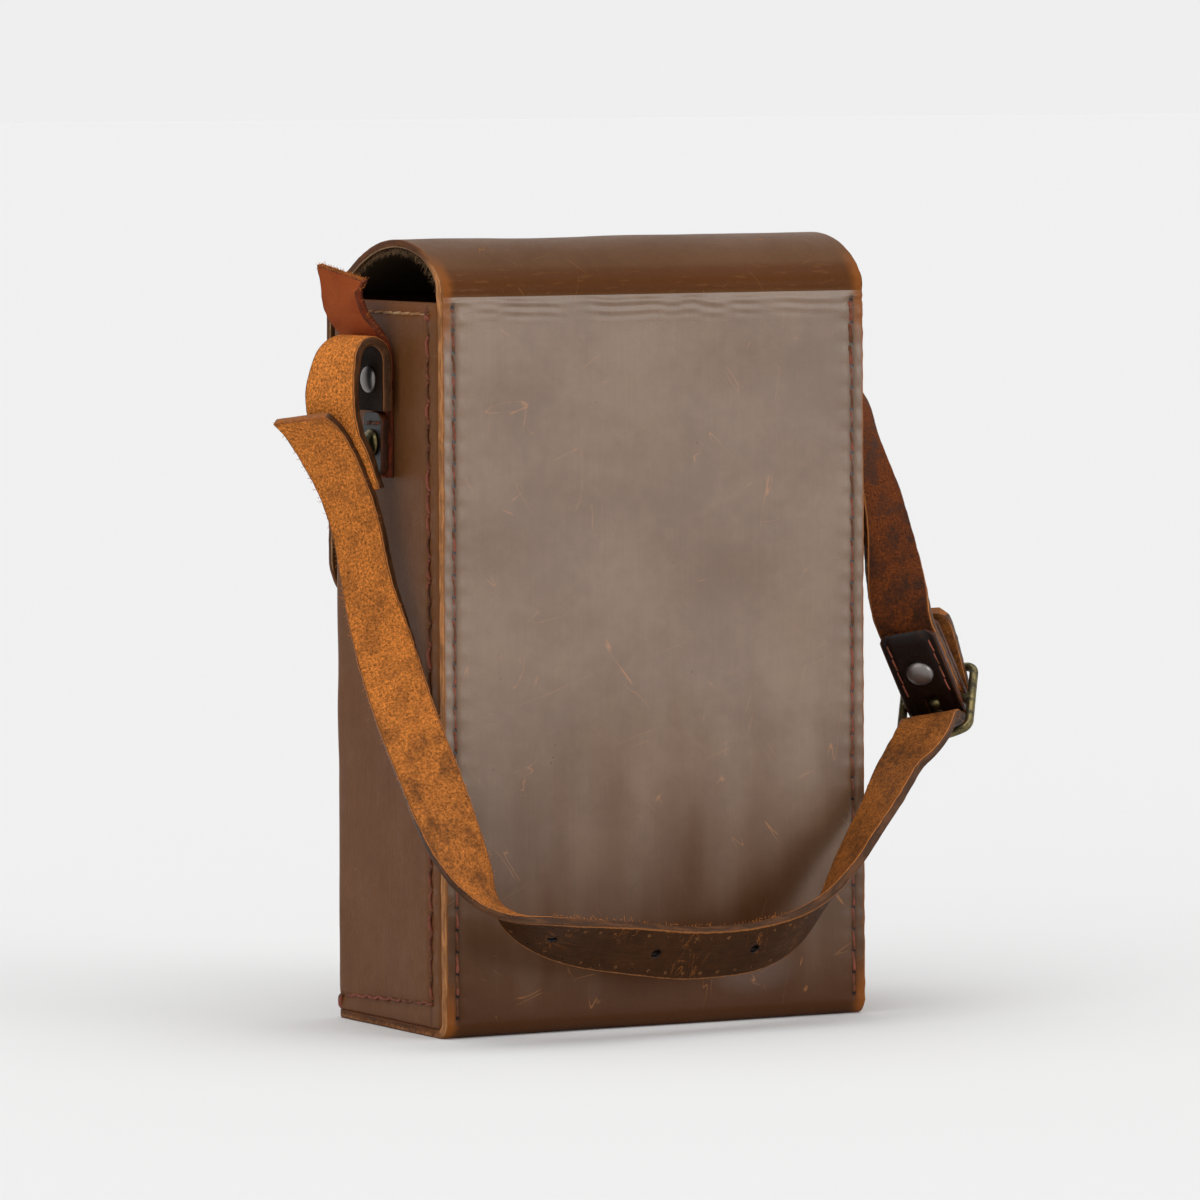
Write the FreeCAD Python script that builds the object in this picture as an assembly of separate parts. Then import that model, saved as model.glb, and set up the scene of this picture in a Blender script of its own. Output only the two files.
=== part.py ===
import FreeCAD, Part
import math
import os

from FreeCAD import Vector

# Leather camera case with a domed lid, a carrying strap and a centre bar buckle.
# Millimetres. +Z is up, +X runs along the width, -Y is the plain back of the case.
# The origin is the middle of the flat base.

# Body of the case
case_width = 115.0
case_depth = 59.0
crease_height = 176.5
panel_drop = 1.3
front_wall_drop = 7.0
wrap_thick = 2.2
panel_thick = 2.2
base_bend = 4.0
front_corner = 3.2
panel_edge_round = 0.9
lining_thick = 0.8
lining_drop = 8.5
lining_bend = 1.0

# Lid
lid_thick = 2.0
lid_rise = 13.5
lid_apex_y = -5.0
crease_gap = 0.15
flap_gap = 0.6
flap_bottom = 98.0
flap_corner = 14.0
shoulder_drop = 12.8
shoulder_bend = 6.0
lid_lining_thick = 0.7
lid_lining_inset = 1.5
lid_lining_gap = 0.05
lid_lining_points = 16
arc_tolerance = 0.02

# Press stud
snap_height = 112.0
stud_radius = 1.9
stud_reach = 2.2
stud_flange_radius = 3.9
stud_flange_thick = 0.5
stud_rounding = 0.55
burr_radius = 5.0
burr_thick = 0.7
socket_radius = 4.3
socket_wall = 0.6
socket_flange_radius = 5.8
socket_flange_thick = 0.4
cap_radius = 6.2
cap_rim = 0.6
cap_dome = 1.3

# Strap and its hangers
strap_width = 14.5
strap_thick = 2.4
strap_step = 4.0
hanger_y = -0.7
loop_top = 165.0
loop_radius = 4.35
hanger_bottom = 149.0
crown_gap = 0.3
stump_thick = 2.2
stump_bottom = 133.0
stump_curl = 159.5

# Lugs and rivets at the sides
lug_width = 10.4
lug_height = 15.0
lug_thick = 2.0
lug_top = 148.6
lug_corner = 2.5
upper_rivet_height = 156.5
lower_rivet_height = 141.3
rivet_radius = 3.3
rivet_dome = 1.5
rivet_rim = 0.4
shank_radius = 1.25
washer_radius = 3.4
washer_thick = 0.8
washer_lap = 0.2

# Buckle
buckle_centre = Vector(81.3, -24.0, 74.8)
buckle_bar = Vector(0.657, -0.732, 0.176)
buckle_down = Vector(0.522, 0.276, -0.806)
frame_lean = 13.0
frame_half_width = 8.9
frame_half_height = 9.8
frame_wire = 1.1
frame_corner = 2.4
frame_bow = 20.0
bar_radius = 1.22
bar_clearance = 0.08
chape_thick = 2.0
chape_length = 24.0
chape_slot = 3.4
slot_depth = 4.0
chape_rivet_place = 12.0
chape_rivet_radius = 3.4
strap_play = 0.1
prong_width = 2.6
prong_wall = 0.9
prong_radius = 0.85
pin_step = 1.1
prong_hole_radius = 1.75
strap_hole_radius = 1.25

half_width = case_width / 2
half_depth = case_depth / 2
panel_top = crease_height - panel_drop
front_wall_top = crease_height - front_wall_drop
lining_top = crease_height - lining_drop
lid_apex = crease_height + lid_rise
fold_radius = bar_radius + bar_clearance


def unit(vector):
    result = Vector(vector)
    result.normalize()
    return result


# Local directions of the buckle: along the bar, down the chape, and away from its face
bar_dir = unit(buckle_bar)
down_dir = unit(buckle_down - bar_dir * buckle_down.dot(bar_dir))
back_dir = bar_dir.cross(down_dir)


def buckle_point(along, down, back):
    return buckle_centre + bar_dir * along + down_dir * down + back_dir * back


def to_buckle(shape):
    # Takes local x, y, z to the directions along the bar, down the chape and back
    matrix = FreeCAD.Matrix(
        bar_dir.x, down_dir.x, back_dir.x, buckle_centre.x,
        bar_dir.y, down_dir.y, back_dir.y, buckle_centre.y,
        bar_dir.z, down_dir.z, back_dir.z, buckle_centre.z,
    )
    placed = shape.copy()
    placed.Placement = FreeCAD.Placement(matrix).multiply(shape.Placement)
    return placed


def box(x0, x1, y0, y1, z0, z1):
    return Part.makeBox(x1 - x0, y1 - y0, z1 - z0, Vector(x0, y0, z0))


def closed_face(edges):
    return Part.Face(Part.Wire(Part.__sortEdges__(edges)))


def disc(radius, start, direction, length):
    return Part.makeCylinder(radius, length, start, direction)


def edges_along(shape, axis, test):
    chosen = []
    for edge in shape.Edges:
        first = edge.Vertexes[0].Point
        last = edge.Vertexes[-1].Point
        run = last - first
        if run.Length < 1e-6:
            continue
        if abs(abs(run.normalize().dot(axis)) - 1) < 1e-6 and test(edge.CenterOfMass):
            chosen.append(edge)
    return chosen


def mirror_x(shape):
    return shape.mirror(Vector(0, 0, 0), Vector(1, 0, 0))


def domed_cap(radius, rim, dome):
    # A low domed head on the plane z = 0, turned about +Z, in three straight slopes
    sphere_radius = (radius ** 2 + dome ** 2) / (2 * dome)
    full_angle = math.asin(radius / sphere_radius)
    outline = [Vector(0, 0, 0), Vector(radius, 0, 0)]
    for share in (1.0, 0.7, 0.3):
        angle = full_angle * share
        outline.append(Vector(
            sphere_radius * math.sin(angle), 0,
            rim + dome - sphere_radius + sphere_radius * math.cos(angle)))
    outline.append(Vector(0, 0, rim + dome))
    face = Part.Face(Part.makePolygon(outline + outline[:1]))
    return face.revolve(Vector(0, 0, 0), Vector(0, 0, 1), 360)


def point_along(shape, place, direction):
    # Turns local +Z to the direction and moves the origin to the place
    turned = shape.copy()
    turn = FreeCAD.Rotation(Vector(0, 0, 1), direction)
    turned.Placement = FreeCAD.Placement(place, turn).multiply(shape.Placement)
    return turned


def lengths_along(points):
    lengths = [0.0]
    for before, after in zip(points, points[1:]):
        lengths.append(lengths[-1] + before.distanceToPoint(after))
    return lengths


def smooth_curve(points):
    curve = Part.BSplineCurve()
    curve.interpolate(Points=points, Parameters=lengths_along(points))
    return curve


def arc_edges(curve):
    # The curve as tangent arcs
    return [arc.toShape() for arc in curve.toBiArcs(arc_tolerance)]


def inside_points(points, curve, distance):
    # The points moved to the inner side of a curve in the plane x = 0
    moved = []
    for point in points:
        tangent = curve.tangent(curve.parameter(point))[0]
        moved.append(point + Vector(0, tangent.z, -tangent.y) * distance)
    return moved


def facet_solid(sections):
    # A closed solid over sections of as many corners each, two flat facets to a side
    faces = [Part.Face(Part.makePolygon(sections[0] + sections[0][:1])),
             Part.Face(Part.makePolygon(sections[-1] + sections[-1][:1]))]
    sides = len(sections[0])
    for here, there in zip(sections, sections[1:]):
        for first in range(sides):
            second = (first + 1) % sides
            for corners in ((here[first], here[second], there[second]),
                            (here[first], there[second], there[first])):
                faces.append(Part.Face(Part.makePolygon(list(corners) + [corners[0]])))
    solid = Part.makeSolid(Part.makeShell(faces))
    if solid.Volume < 0:
        solid.reverse()
    return solid


def ribbon(stations, width, thick):
    # A flat strap through stations of a centre and a width direction. Its middle and
    # its edge are smooth curves, and its surface is laid in short straight lengths.
    centres = [Vector(*centre) for centre, across in stations]
    edges = [centre + unit(Vector(*across)) * (width / 2)
             for centre, (place, across) in zip(centres, stations)]
    places = lengths_along(centres)
    middle = smooth_curve(centres)
    edge = Part.BSplineCurve()
    edge.interpolate(Points=edges, Parameters=places)
    count = math.ceil(places[-1] / strap_step)
    sections = []
    for index in range(count + 1):
        place = places[-1] * index / count
        here = middle.value(place)
        along = unit(middle.tangent(place)[0])
        side = edge.value(place) - here
        side = unit(side - along * side.dot(along))
        out = along.cross(side)
        corners = []
        for side_sign, out_sign in ((1, 1), (-1, 1), (-1, -1), (1, -1)):
            corners.append(
                here + side * (side_sign * width / 2) + out * (out_sign * thick / 2))
        sections.append(corners)
    return facet_solid(sections)


def loop_points(side, crown_x, start, end, count):
    # Points on the bend at the top of a hanger, from the angle start to end,
    # where 0 is the outermost point and 90 the crown
    points = []
    for step in range(count):
        angle = math.radians(start + (end - start) * step / (count - 1))
        points.append((
            side * (crown_x + loop_radius * math.cos(angle)),
            hanger_y,
            loop_top - loop_radius + loop_radius * math.sin(angle)))
    return points


left_backing = half_width + stump_thick
left_crown = left_backing + strap_thick / 2 + loop_radius
right_backing = half_width
right_crown = right_backing + strap_thick / 2 + loop_radius


def wrap():
    # Back wall and base, bent out of one piece of thick leather
    along_x = Vector(1, 0, 0)
    outer = box(-half_width, half_width, -half_depth, half_depth, 0, crease_height)
    heel = edges_along(outer, along_x, lambda place: place.z < 1 and place.y < 0)
    outer = outer.makeFillet(base_bend, heel)
    toes = edges_along(outer, Vector(0, 0, 1), lambda place: place.y > 0)
    outer = outer.makeFillet(front_corner, toes)
    inner_y = half_depth - wrap_thick
    inner = box(-half_width - 1, half_width + 1, -inner_y, half_depth + 1,
                wrap_thick, crease_height + 1)
    heel = edges_along(inner, along_x,
                       lambda place: place.z < wrap_thick + 1 and place.y < 0)
    inner = inner.makeFillet(base_bend - wrap_thick, heel)
    back_top = box(-half_width - 1, half_width + 1, -half_depth - 1, 0,
                   crease_height - crease_gap, crease_height + 1)
    return outer.cut(inner).cut(back_top)


def body_band():
    # Left end, front wall and right end, one strip that turns the front corners
    inner_y = half_depth - wrap_thick
    outer = box(-half_width, half_width, -inner_y, half_depth, wrap_thick, panel_top)
    upright = Vector(0, 0, 1)
    outer = outer.makeFillet(front_corner, edges_along(
        outer, upright, lambda place: place.y > 0))
    outer = outer.makeFillet(panel_edge_round, edges_along(
        outer, upright, lambda place: place.y < -inner_y + 0.01))
    band = outer.cut(box(-half_width + panel_thick, half_width - panel_thick,
                         -inner_y - 1, inner_y, wrap_thick - 1, panel_top + 1))
    band = band.cut(box(-half_width - 1, half_width + 1, inner_y, half_depth + 1,
                        front_wall_top, panel_top + 1))
    bend = base_bend - wrap_thick
    heel = box(-half_width - 1, half_width + 1, -inner_y - 1, -inner_y + bend,
               wrap_thick - 1, wrap_thick + bend)
    heel = heel.cut(disc(bend, Vector(-half_width - 2, -inner_y + bend, wrap_thick + bend),
                         Vector(1, 0, 0), 2 * half_width + 4))
    band = band.cut(heel)
    for height in (upper_rivet_height, lower_rivet_height):
        band = band.cut(disc(shank_radius, Vector(-half_width - 1, hanger_y, height),
                             Vector(1, 0, 0), 2 * half_width + 2))
    return band.cut(disc(shank_radius, Vector(0, inner_y - 1, snap_height),
                         Vector(0, 1, 0), wrap_thick + 2))


def body_lining():
    # Soft lining of the walls and the base, one sheet
    end = half_width - panel_thick
    outer_y = half_depth - wrap_thick
    bend = base_bend - wrap_thick
    outer = box(-end, end, -outer_y, outer_y, wrap_thick, lining_top)
    low = edges_along(outer, Vector(1, 0, 0), lambda place: place.z < wrap_thick + 1)
    outer = outer.makeFillet(bend, low)
    inner_y = outer_y - lining_thick
    floor = wrap_thick + lining_thick
    inner = box(-end - 1, end + 1, -inner_y, inner_y, floor, lining_top + 1)
    low = edges_along(inner, Vector(1, 0, 0), lambda place: place.z < floor + 1)
    inner = inner.makeFillet(lining_bend, low)
    hole = disc(burr_radius + strap_play, Vector(0, inner_y - 1, snap_height),
                Vector(0, 1, 0), lining_thick + 1)
    return outer.cut(inner).cut(hole)


def side_lining():
    # Left end lining, inside the end panel
    start = -half_width + panel_thick
    reach = half_depth - wrap_thick - lining_thick
    floor = wrap_thick + lining_thick
    sheet = box(start, start + lining_thick, -reach, reach, floor, lining_top)
    low = edges_along(sheet, Vector(1, 0, 0), lambda place: place.z < floor + 1)
    sheet = sheet.makeFillet(lining_bend, low)
    for height in (upper_rivet_height, lower_rivet_height):
        sheet = sheet.cut(disc(
            shank_radius, Vector(start - 1, hanger_y, height),
            Vector(1, 0, 0), lining_thick + 2))
    return sheet


# Outer line of the lid from the crease over the apex to the front flap
flap_outer = half_depth + flap_gap + lid_thick
lid_line = [
    Vector(0, -half_depth, crease_height + crease_gap),
    Vector(0, -half_depth + 0.3, crease_height + 2.5),
    Vector(0, -half_depth + 2.4, crease_height + 5.7),
    Vector(0, -half_depth + 7.2, lid_apex - 4.0),
    Vector(0, lid_apex_y - 9.5, lid_apex - 1.0),
    Vector(0, lid_apex_y, lid_apex),
    Vector(0, lid_apex_y + 10.5, lid_apex - 1.4),
    Vector(0, lid_apex_y + 21.0, lid_apex - 5.4),
    Vector(0, flap_outer - 7.6, lid_apex - 10.1),
    Vector(0, flap_outer - 3.5, lid_apex - shoulder_drop),
    Vector(0, flap_outer - 0.9, lid_apex - shoulder_drop - shoulder_bend / 2),
    Vector(0, flap_outer, lid_apex - shoulder_drop - shoulder_bend),
]
lid_outer_curve = smooth_curve(lid_line)
lid_inner_line = inside_points(lid_line, lid_outer_curve, lid_thick)
lid_inner_line[0] = lid_line[0] + Vector(0, lid_thick, 0)
lid_inner_line[-1] = lid_line[-1] - Vector(0, lid_thick, 0)
lid_inner_curve = smooth_curve(lid_inner_line)


def lid():
    # Domed lid and front flap, the same leather as the wrap, bent at the crease
    outer_end = Vector(0, lid_line[-1].y, flap_bottom)
    inner_end = Vector(0, lid_inner_line[-1].y, flap_bottom)
    profile = closed_face(arc_edges(lid_outer_curve) + arc_edges(lid_inner_curve) + [
        Part.makeLine(lid_line[-1], outer_end),
        Part.makeLine(outer_end, inner_end),
        Part.makeLine(inner_end, lid_inner_line[-1]),
        Part.makeLine(lid_inner_line[0], lid_line[0]),
    ])
    profile.translate(Vector(-half_width, 0, 0))
    shape = profile.extrude(Vector(case_width, 0, 0))
    low = edges_along(shape, Vector(0, 1, 0), lambda place: place.z < flap_bottom + 1)
    shape = shape.makeFillet(flap_corner, low)
    hole = disc(socket_radius + socket_wall, Vector(0, half_depth, snap_height),
                Vector(0, 1, 0), lid_thick + flap_gap + 1)
    return shape.cut(hole)


def lid_lining():
    # Soft lining under the dome, on the lid's inner line
    start = lid_inner_curve.parameter(lid_inner_line[1])
    end = lid_inner_curve.parameter(lid_inner_line[-4])
    line = []
    for index in range(lid_lining_points):
        share = index / (lid_lining_points - 1)
        line.append(lid_inner_curve.value(start + (end - start) * share))
    points = inside_points(line, lid_inner_curve, lid_lining_gap)
    outer = smooth_curve(points)
    inner_points = inside_points(points, outer, lid_lining_thick)
    inner = smooth_curve(inner_points)
    profile = closed_face(arc_edges(outer) + arc_edges(inner) + [
        Part.makeLine(points[-1], inner_points[-1]),
        Part.makeLine(inner_points[0], points[0]),
    ])
    end = half_width - lid_lining_inset
    profile.translate(Vector(-end, 0, 0))
    return profile.extrude(Vector(2 * end, 0, 0))


def snap_stud():
    # Post and flange outside the front wall, with its shank through the leather
    forward = Vector(0, 1, 0)
    flange = disc(stud_flange_radius, Vector(0, half_depth, snap_height),
                  forward, stud_flange_thick)
    post = disc(stud_radius, Vector(0, half_depth, snap_height), forward, stud_reach)
    rim = edges_of_end(post, half_depth + stud_reach)
    post = post.makeFillet(stud_rounding, rim)
    shank = disc(shank_radius, Vector(0, half_depth - wrap_thick, snap_height),
                 forward, wrap_thick)
    return flange.fuse([post, shank]).removeSplitter()


def edges_of_end(shape, y):
    return [edge for edge in shape.Edges if abs(edge.CenterOfMass.y - y) < 1e-4
            and len(edge.Vertexes) < 2]


def snap_burr():
    # Domed washer on the inner end of the stud's shank, in the lining's hole
    head = domed_cap(burr_radius, burr_thick / 2, burr_thick / 2)
    place = Vector(0, half_depth - wrap_thick, snap_height)
    return point_along(head, place, Vector(0, -1, 0))


def snap_socket():
    # Flanged ring in the flap's hole, wide enough to come off the post at an angle
    forward = Vector(0, 1, 0)
    inner_face = half_depth + flap_gap
    ring = disc(socket_radius + socket_wall, Vector(0, inner_face, snap_height),
                forward, lid_thick)
    start = inner_face - socket_flange_thick
    flange = disc(socket_flange_radius, Vector(0, start, snap_height),
                  forward, socket_flange_thick)
    bore = disc(socket_radius, Vector(0, start - 1, snap_height), forward, lid_thick + 2)
    return ring.fuse(flange).cut(bore).removeSplitter()


def snap_cap():
    # Domed cap outside the flap
    head = domed_cap(cap_radius, cap_rim, cap_dome)
    return point_along(head, Vector(0, flap_outer, snap_height), Vector(0, 1, 0))


def hanger(side, backing, crown_x):
    # Riveted inner leg and the inner half of the loop at its top
    leg_x = side * (backing + strap_thick / 2)
    across = (0, -side, 0)
    stations = [((leg_x, hanger_y, hanger_bottom), across)]
    for share in (0.33, 0.67):
        height = hanger_bottom + (loop_top - loop_radius - hanger_bottom) * share
        stations.append(((leg_x, hanger_y, height), across))
    for place in loop_points(side, crown_x, 180, 90, 6):
        stations.append((place, across))
    last = (side * (crown_x - crown_gap / 2), hanger_y, loop_top)
    stations[-1] = (last, across)
    shape = ribbon(stations, strap_width, strap_thick)
    hole = disc(shank_radius, Vector(side * (backing - 1), hanger_y, upper_rivet_height),
                Vector(side, 0, 0), strap_thick + 2)
    behind = box(0, backing, -strap_width, strap_width, stump_bottom, lid_apex)
    return shape.cut(hole).cut(behind if side > 0 else mirror_x(behind))


def stump():
    # Cut end of an older strap, pinned behind the left hanger and curling out above it
    flat_x = half_width + stump_thick / 2
    flat_height = (stump_curl - stump_bottom) / 3
    stations = [((-flat_x, hanger_y, stump_bottom + flat_height * step), (0, 1, 0))
                for step in range(4)]
    stations += [
        ((-flat_x - 0.5, hanger_y, stump_curl + 3.9), (-0.02, 1, 0)),
        ((-flat_x - 1.8, hanger_y, stump_curl + 7.4), (-0.06, 1, 0)),
        ((-flat_x - 3.2, hanger_y, stump_curl + 11.0), (-0.12, 1, 0)),
        ((-flat_x - 4.1, hanger_y, stump_curl + 14.8), (-0.16, 1, 0)),
        ((-flat_x - 4.4, hanger_y, stump_curl + 18.6), (-0.18, 1, 0)),
        ((-flat_x - 4.6, hanger_y, stump_curl + 22.0), (-0.20, 1, 0)),
    ]
    shape = ribbon(stations, strap_width, stump_thick)
    for height in (upper_rivet_height, lower_rivet_height):
        shape = shape.cut(disc(shank_radius, Vector(-half_width + 1, hanger_y, height),
                               Vector(-1, 0, 0), stump_thick + 2))
    behind = box(-half_width, 0, -strap_width, strap_width, stump_bottom - 1, lid_apex)
    front = box(-left_crown, -left_backing, -strap_width, strap_width,
                stump_bottom - 1, stump_curl)
    return shape.cut(behind).cut(front)


def lug(side, backing):
    # Small tab below the hanger, with round top corners, held by the lower rivet
    low = lug_top - lug_height
    tab = box(backing, backing + lug_thick, hanger_y - lug_width / 2,
              hanger_y + lug_width / 2, low, lug_top)
    corners = edges_along(tab, Vector(1, 0, 0), lambda place: True)
    tab = tab.makeFillet(lug_corner, corners)
    hole = disc(shank_radius, Vector(backing - 1, hanger_y, lower_rivet_height),
                Vector(1, 0, 0), lug_thick + 2)
    tab = tab.cut(hole)
    return tab if side > 0 else mirror_x(tab)


def side_rivet(side, height, face):
    # Domed head outside the leather and a shank through to the washer inside
    head = domed_cap(rivet_radius, rivet_rim, rivet_dome)
    head = point_along(head, Vector(face, hanger_y, height), Vector(1, 0, 0))
    inner = half_width - panel_thick - lining_thick - washer_thick - washer_lap
    shank = disc(shank_radius, Vector(inner, hanger_y, height), Vector(1, 0, 0), face - inner)
    rivet = head.fuse(shank).removeSplitter()
    return rivet if side > 0 else mirror_x(rivet)


def side_rivets(side, backing):
    upper = side_rivet(side, upper_rivet_height, backing + strap_thick)
    lower = side_rivet(side, lower_rivet_height, backing + lug_thick)
    return Part.makeCompound([upper, lower])


def side_washers():
    # Washers on the rivet ends inside the case, two at each end
    washers = []
    face = half_width - panel_thick - lining_thick
    for side in (-1, 1):
        for height in (upper_rivet_height, lower_rivet_height):
            start = Vector(side * face, hanger_y, height)
            washer = disc(washer_radius, start, Vector(-side, 0, 0), washer_thick)
            bore = disc(shank_radius, start, Vector(-side, 0, 0), washer_thick)
            washers.append(washer.cut(bore))
    return Part.makeCompound(washers)


def loop_leg():
    # Outer half of the left loop and the leg that the long strap is joined to
    stations = []
    for place in loop_points(-1, left_crown, 90, 0, 6):
        stations.append((place, (0, 1, 0)))
    first = (-left_crown - crown_gap / 2, hanger_y, loop_top)
    stations[0] = (first, (0, 1, 0))
    stations[-1] = (stations[-1][0], (-0.08, 1, 0))
    leg_x = -left_crown - loop_radius
    stations += [
        ((leg_x - 0.4, hanger_y, 156.0), (-0.18, 1, 0)),
        ((leg_x - 0.4, hanger_y, 151.5), (-0.27, 1, 0)),
        ((leg_x + 0.2, hanger_y, 147.0), (-0.32, 1, 0)),
        ((leg_x + 1.6, hanger_y, 142.4), (-0.38, 1, 0)),
        ((leg_x + 3.3, hanger_y - 0.4, 138.0), (-0.45, 1, -0.05)),
    ]
    return ribbon(stations, strap_width, strap_thick)


# Route of the long strap: from the left loop leg down across the left end, along
# the back near the base, and up to the buckle. Each entry is the middle of the
# strap and the direction to its outer or upper edge.
long_route = [
    ((-79.6, 1.0, 147.4), (-0.50, 0.86, -0.12)),
    ((-76.3, 0.6, 144.0), (-0.56, 0.82, -0.12)),
    ((-73.6, 0.0, 139.8), (-0.58, 0.80, -0.13)),
    ((-70.6, -1.0, 133.6), (-0.52, 0.84, -0.13)),
    ((-67.4, -3.0, 123.6), (-0.47, 0.88, -0.09)),
    ((-66.4, -7.5, 109.0), (-0.46, 0.88, -0.09)),
    ((-66.3, -16.5, 92.7), (-0.70, 0.71, -0.06)),
    ((-66.6, -28.0, 76.9), (-0.86, 0.50, -0.06)),
    ((-65.1, -39.0, 61.0), (-0.93, 0.36, -0.05)),
    ((-62.6, -46.0, 47.4), (-1.00, -0.04, 0.00)),
    ((-56.0, -49.5, 35.4), (-0.80, -0.56, 0.20)),
    ((-42.2, -50.0, 26.8), (-0.38, -0.74, 0.56)),
    ((-29.0, -49.0, 23.2), (-0.28, -0.62, 0.73)),
    ((-16.2, -48.0, 21.3), (-0.25, -0.55, 0.80)),
    ((-2.9, -47.0, 19.5), (-0.26, -0.52, 0.82)),
    ((10.5, -46.0, 19.2), (-0.31, -0.53, 0.79)),
    ((23.2, -45.5, 21.0), (-0.33, -0.60, 0.73)),
    ((32.6, -45.5, 25.8), (-0.38, -0.80, 0.47)),
    ((39.6, -44.6, 32.0), (-0.32, -0.93, 0.18)),
    ((45.6, -42.8, 38.9), (-0.21, -0.98, 0.00)),
    ((51.6, -40.8, 46.2), (-0.12, -0.99, -0.03)),
    ((58.6, -38.2, 54.3), (0.02, -1.00, -0.03)),
    ((65.6, -34.6, 62.0), (0.28, -0.95, 0.05)),
]

# The rest of the long strap in the buckle's directions: along the bar, down and back.
# It passes under the lower bar, over the chape's fold and out under the upper bar.
buckle_route = [
    (-0.1, -2.6, -13.6),
    (0.0, -2.0, -9.2),
    (0.0, 1.2, -5.6),
    (0.0, 4.5, -3.0),
    (0.0, 5.2, 0.6),
    (0.0, 3.5, 3.8),
    (0.0, -0.2, 5.7),
    (0.0, -5.0, 7.2),
    (0.5, -10.0, 7.6),
    (1.2, -16.0, 7.1),
    (2.0, -23.0, 6.7),
]

# Punched holes of the long strap, as places between the route's entries
hole_places = [11.2, 13.4, 15.5]


def route_point(place):
    index = int(place)
    share = place - index
    start = Vector(*long_route[index][0])
    end = Vector(*long_route[index + 1][0])
    return start + (end - start) * share


def long_strap():
    stations = list(long_route)
    for along, down, back in buckle_route:
        place = buckle_point(along, down, back)
        stations.append((tuple(place), tuple(bar_dir)))
    shape = ribbon(stations, strap_width, strap_thick)
    for place in hole_places:
        index = int(place)
        here = route_point(place)
        along = unit(Vector(*long_route[index + 1][0]) - Vector(*long_route[index][0]))
        across = Vector(*long_route[index][1])
        out = unit(along.cross(across))
        shape = shape.cut(disc(
            strap_hole_radius, here - out * strap_thick, out, 2 * strap_thick))
    start = buckle_point(0, strap_thick, 0.4)
    hole = disc(prong_hole_radius, start, down_dir + back_dir * 0.3, 2 * strap_thick)
    return shape.cut(hole)


def short_strap():
    # From the right loop's crown down to the folded chape
    stations = []
    for place in loop_points(1, right_crown, 90, 0, 6):
        stations.append((place, (0, 1, 0)))
    first = (right_crown + crown_gap / 2, hanger_y, loop_top)
    stations[0] = (first, (0, 1, 0))
    leg_x = right_crown + loop_radius
    stations += [
        ((leg_x + 0.2, -2.4, 151.4), (0.10, 1.00, 0.02)),
        ((leg_x + 0.4, -6.2, 141.0), (0.32, 0.95, 0.10)),
        ((leg_x + 0.2, -12.6, 129.0), (0.62, 0.78, 0.14)),
        ((leg_x - 0.4, -20.4, 115.8), (0.86, 0.48, 0.12)),
        ((leg_x - 0.8, -27.4, 104.4), (0.95, -0.28, 0.12)),
    ]
    for down in (-chape_length - 1.6, -18.0, -11.0, -4.6):
        stations.append((tuple(buckle_point(0, down, 0)), tuple(bar_dir)))
    shape = ribbon(stations, strap_width, strap_thick)
    reach = fold_radius + chape_thick
    hole = disc(shank_radius, buckle_point(0, -chape_rivet_place, -reach), back_dir, 2 * reach)
    return shape.cut(hole).cut(buckle_chape())


def buckle_chape():
    # Leather folded round the bar, with a slot for the prong
    gap = fold_radius
    outer = gap + chape_thick
    half = strap_width / 2
    legs = box(-half, half, -chape_length, 0, -outer, outer)
    bend = Part.makeCylinder(outer, strap_width, Vector(-half, 0, 0), Vector(1, 0, 0))
    shape = legs.fuse(bend)
    inside = box(-half - 1, half + 1, -chape_length - 1, 0, -gap, gap)
    bore = Part.makeCylinder(gap, strap_width + 2, Vector(-half - 1, 0, 0), Vector(1, 0, 0))
    slot = box(-chape_slot / 2, chape_slot / 2, -slot_depth, outer + 1, -outer - 1, outer + 1)
    hole = disc(shank_radius, Vector(0, -chape_rivet_place, -outer - 1),
                Vector(0, 0, 1), 2 * outer + 2)
    shape = shape.cut(inside).cut(bore).cut(slot).cut(hole).removeSplitter()
    return to_buckle(shape)


def chape_rivet():
    outer = fold_radius + chape_thick
    place = Vector(0, -chape_rivet_place, outer)
    head = point_along(domed_cap(chape_rivet_radius, rivet_rim, rivet_dome),
                       place, Vector(0, 0, 1))
    tail = point_along(domed_cap(chape_rivet_radius, rivet_rim, rivet_dome),
                       Vector(0, -chape_rivet_place, -outer), Vector(0, 0, -1))
    shank = disc(shank_radius, Vector(0, -chape_rivet_place, -outer),
                 Vector(0, 0, 1), 2 * outer)
    return to_buckle(head.fuse([tail, shank]).removeSplitter())


def lean(shape):
    # Turns the frame's own plane, x and y, to its rest place about the bar
    turned = shape.copy()
    turned.rotate(Vector(0, 0, 0), Vector(1, 0, 0), 90 + frame_lean)
    return turned


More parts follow.
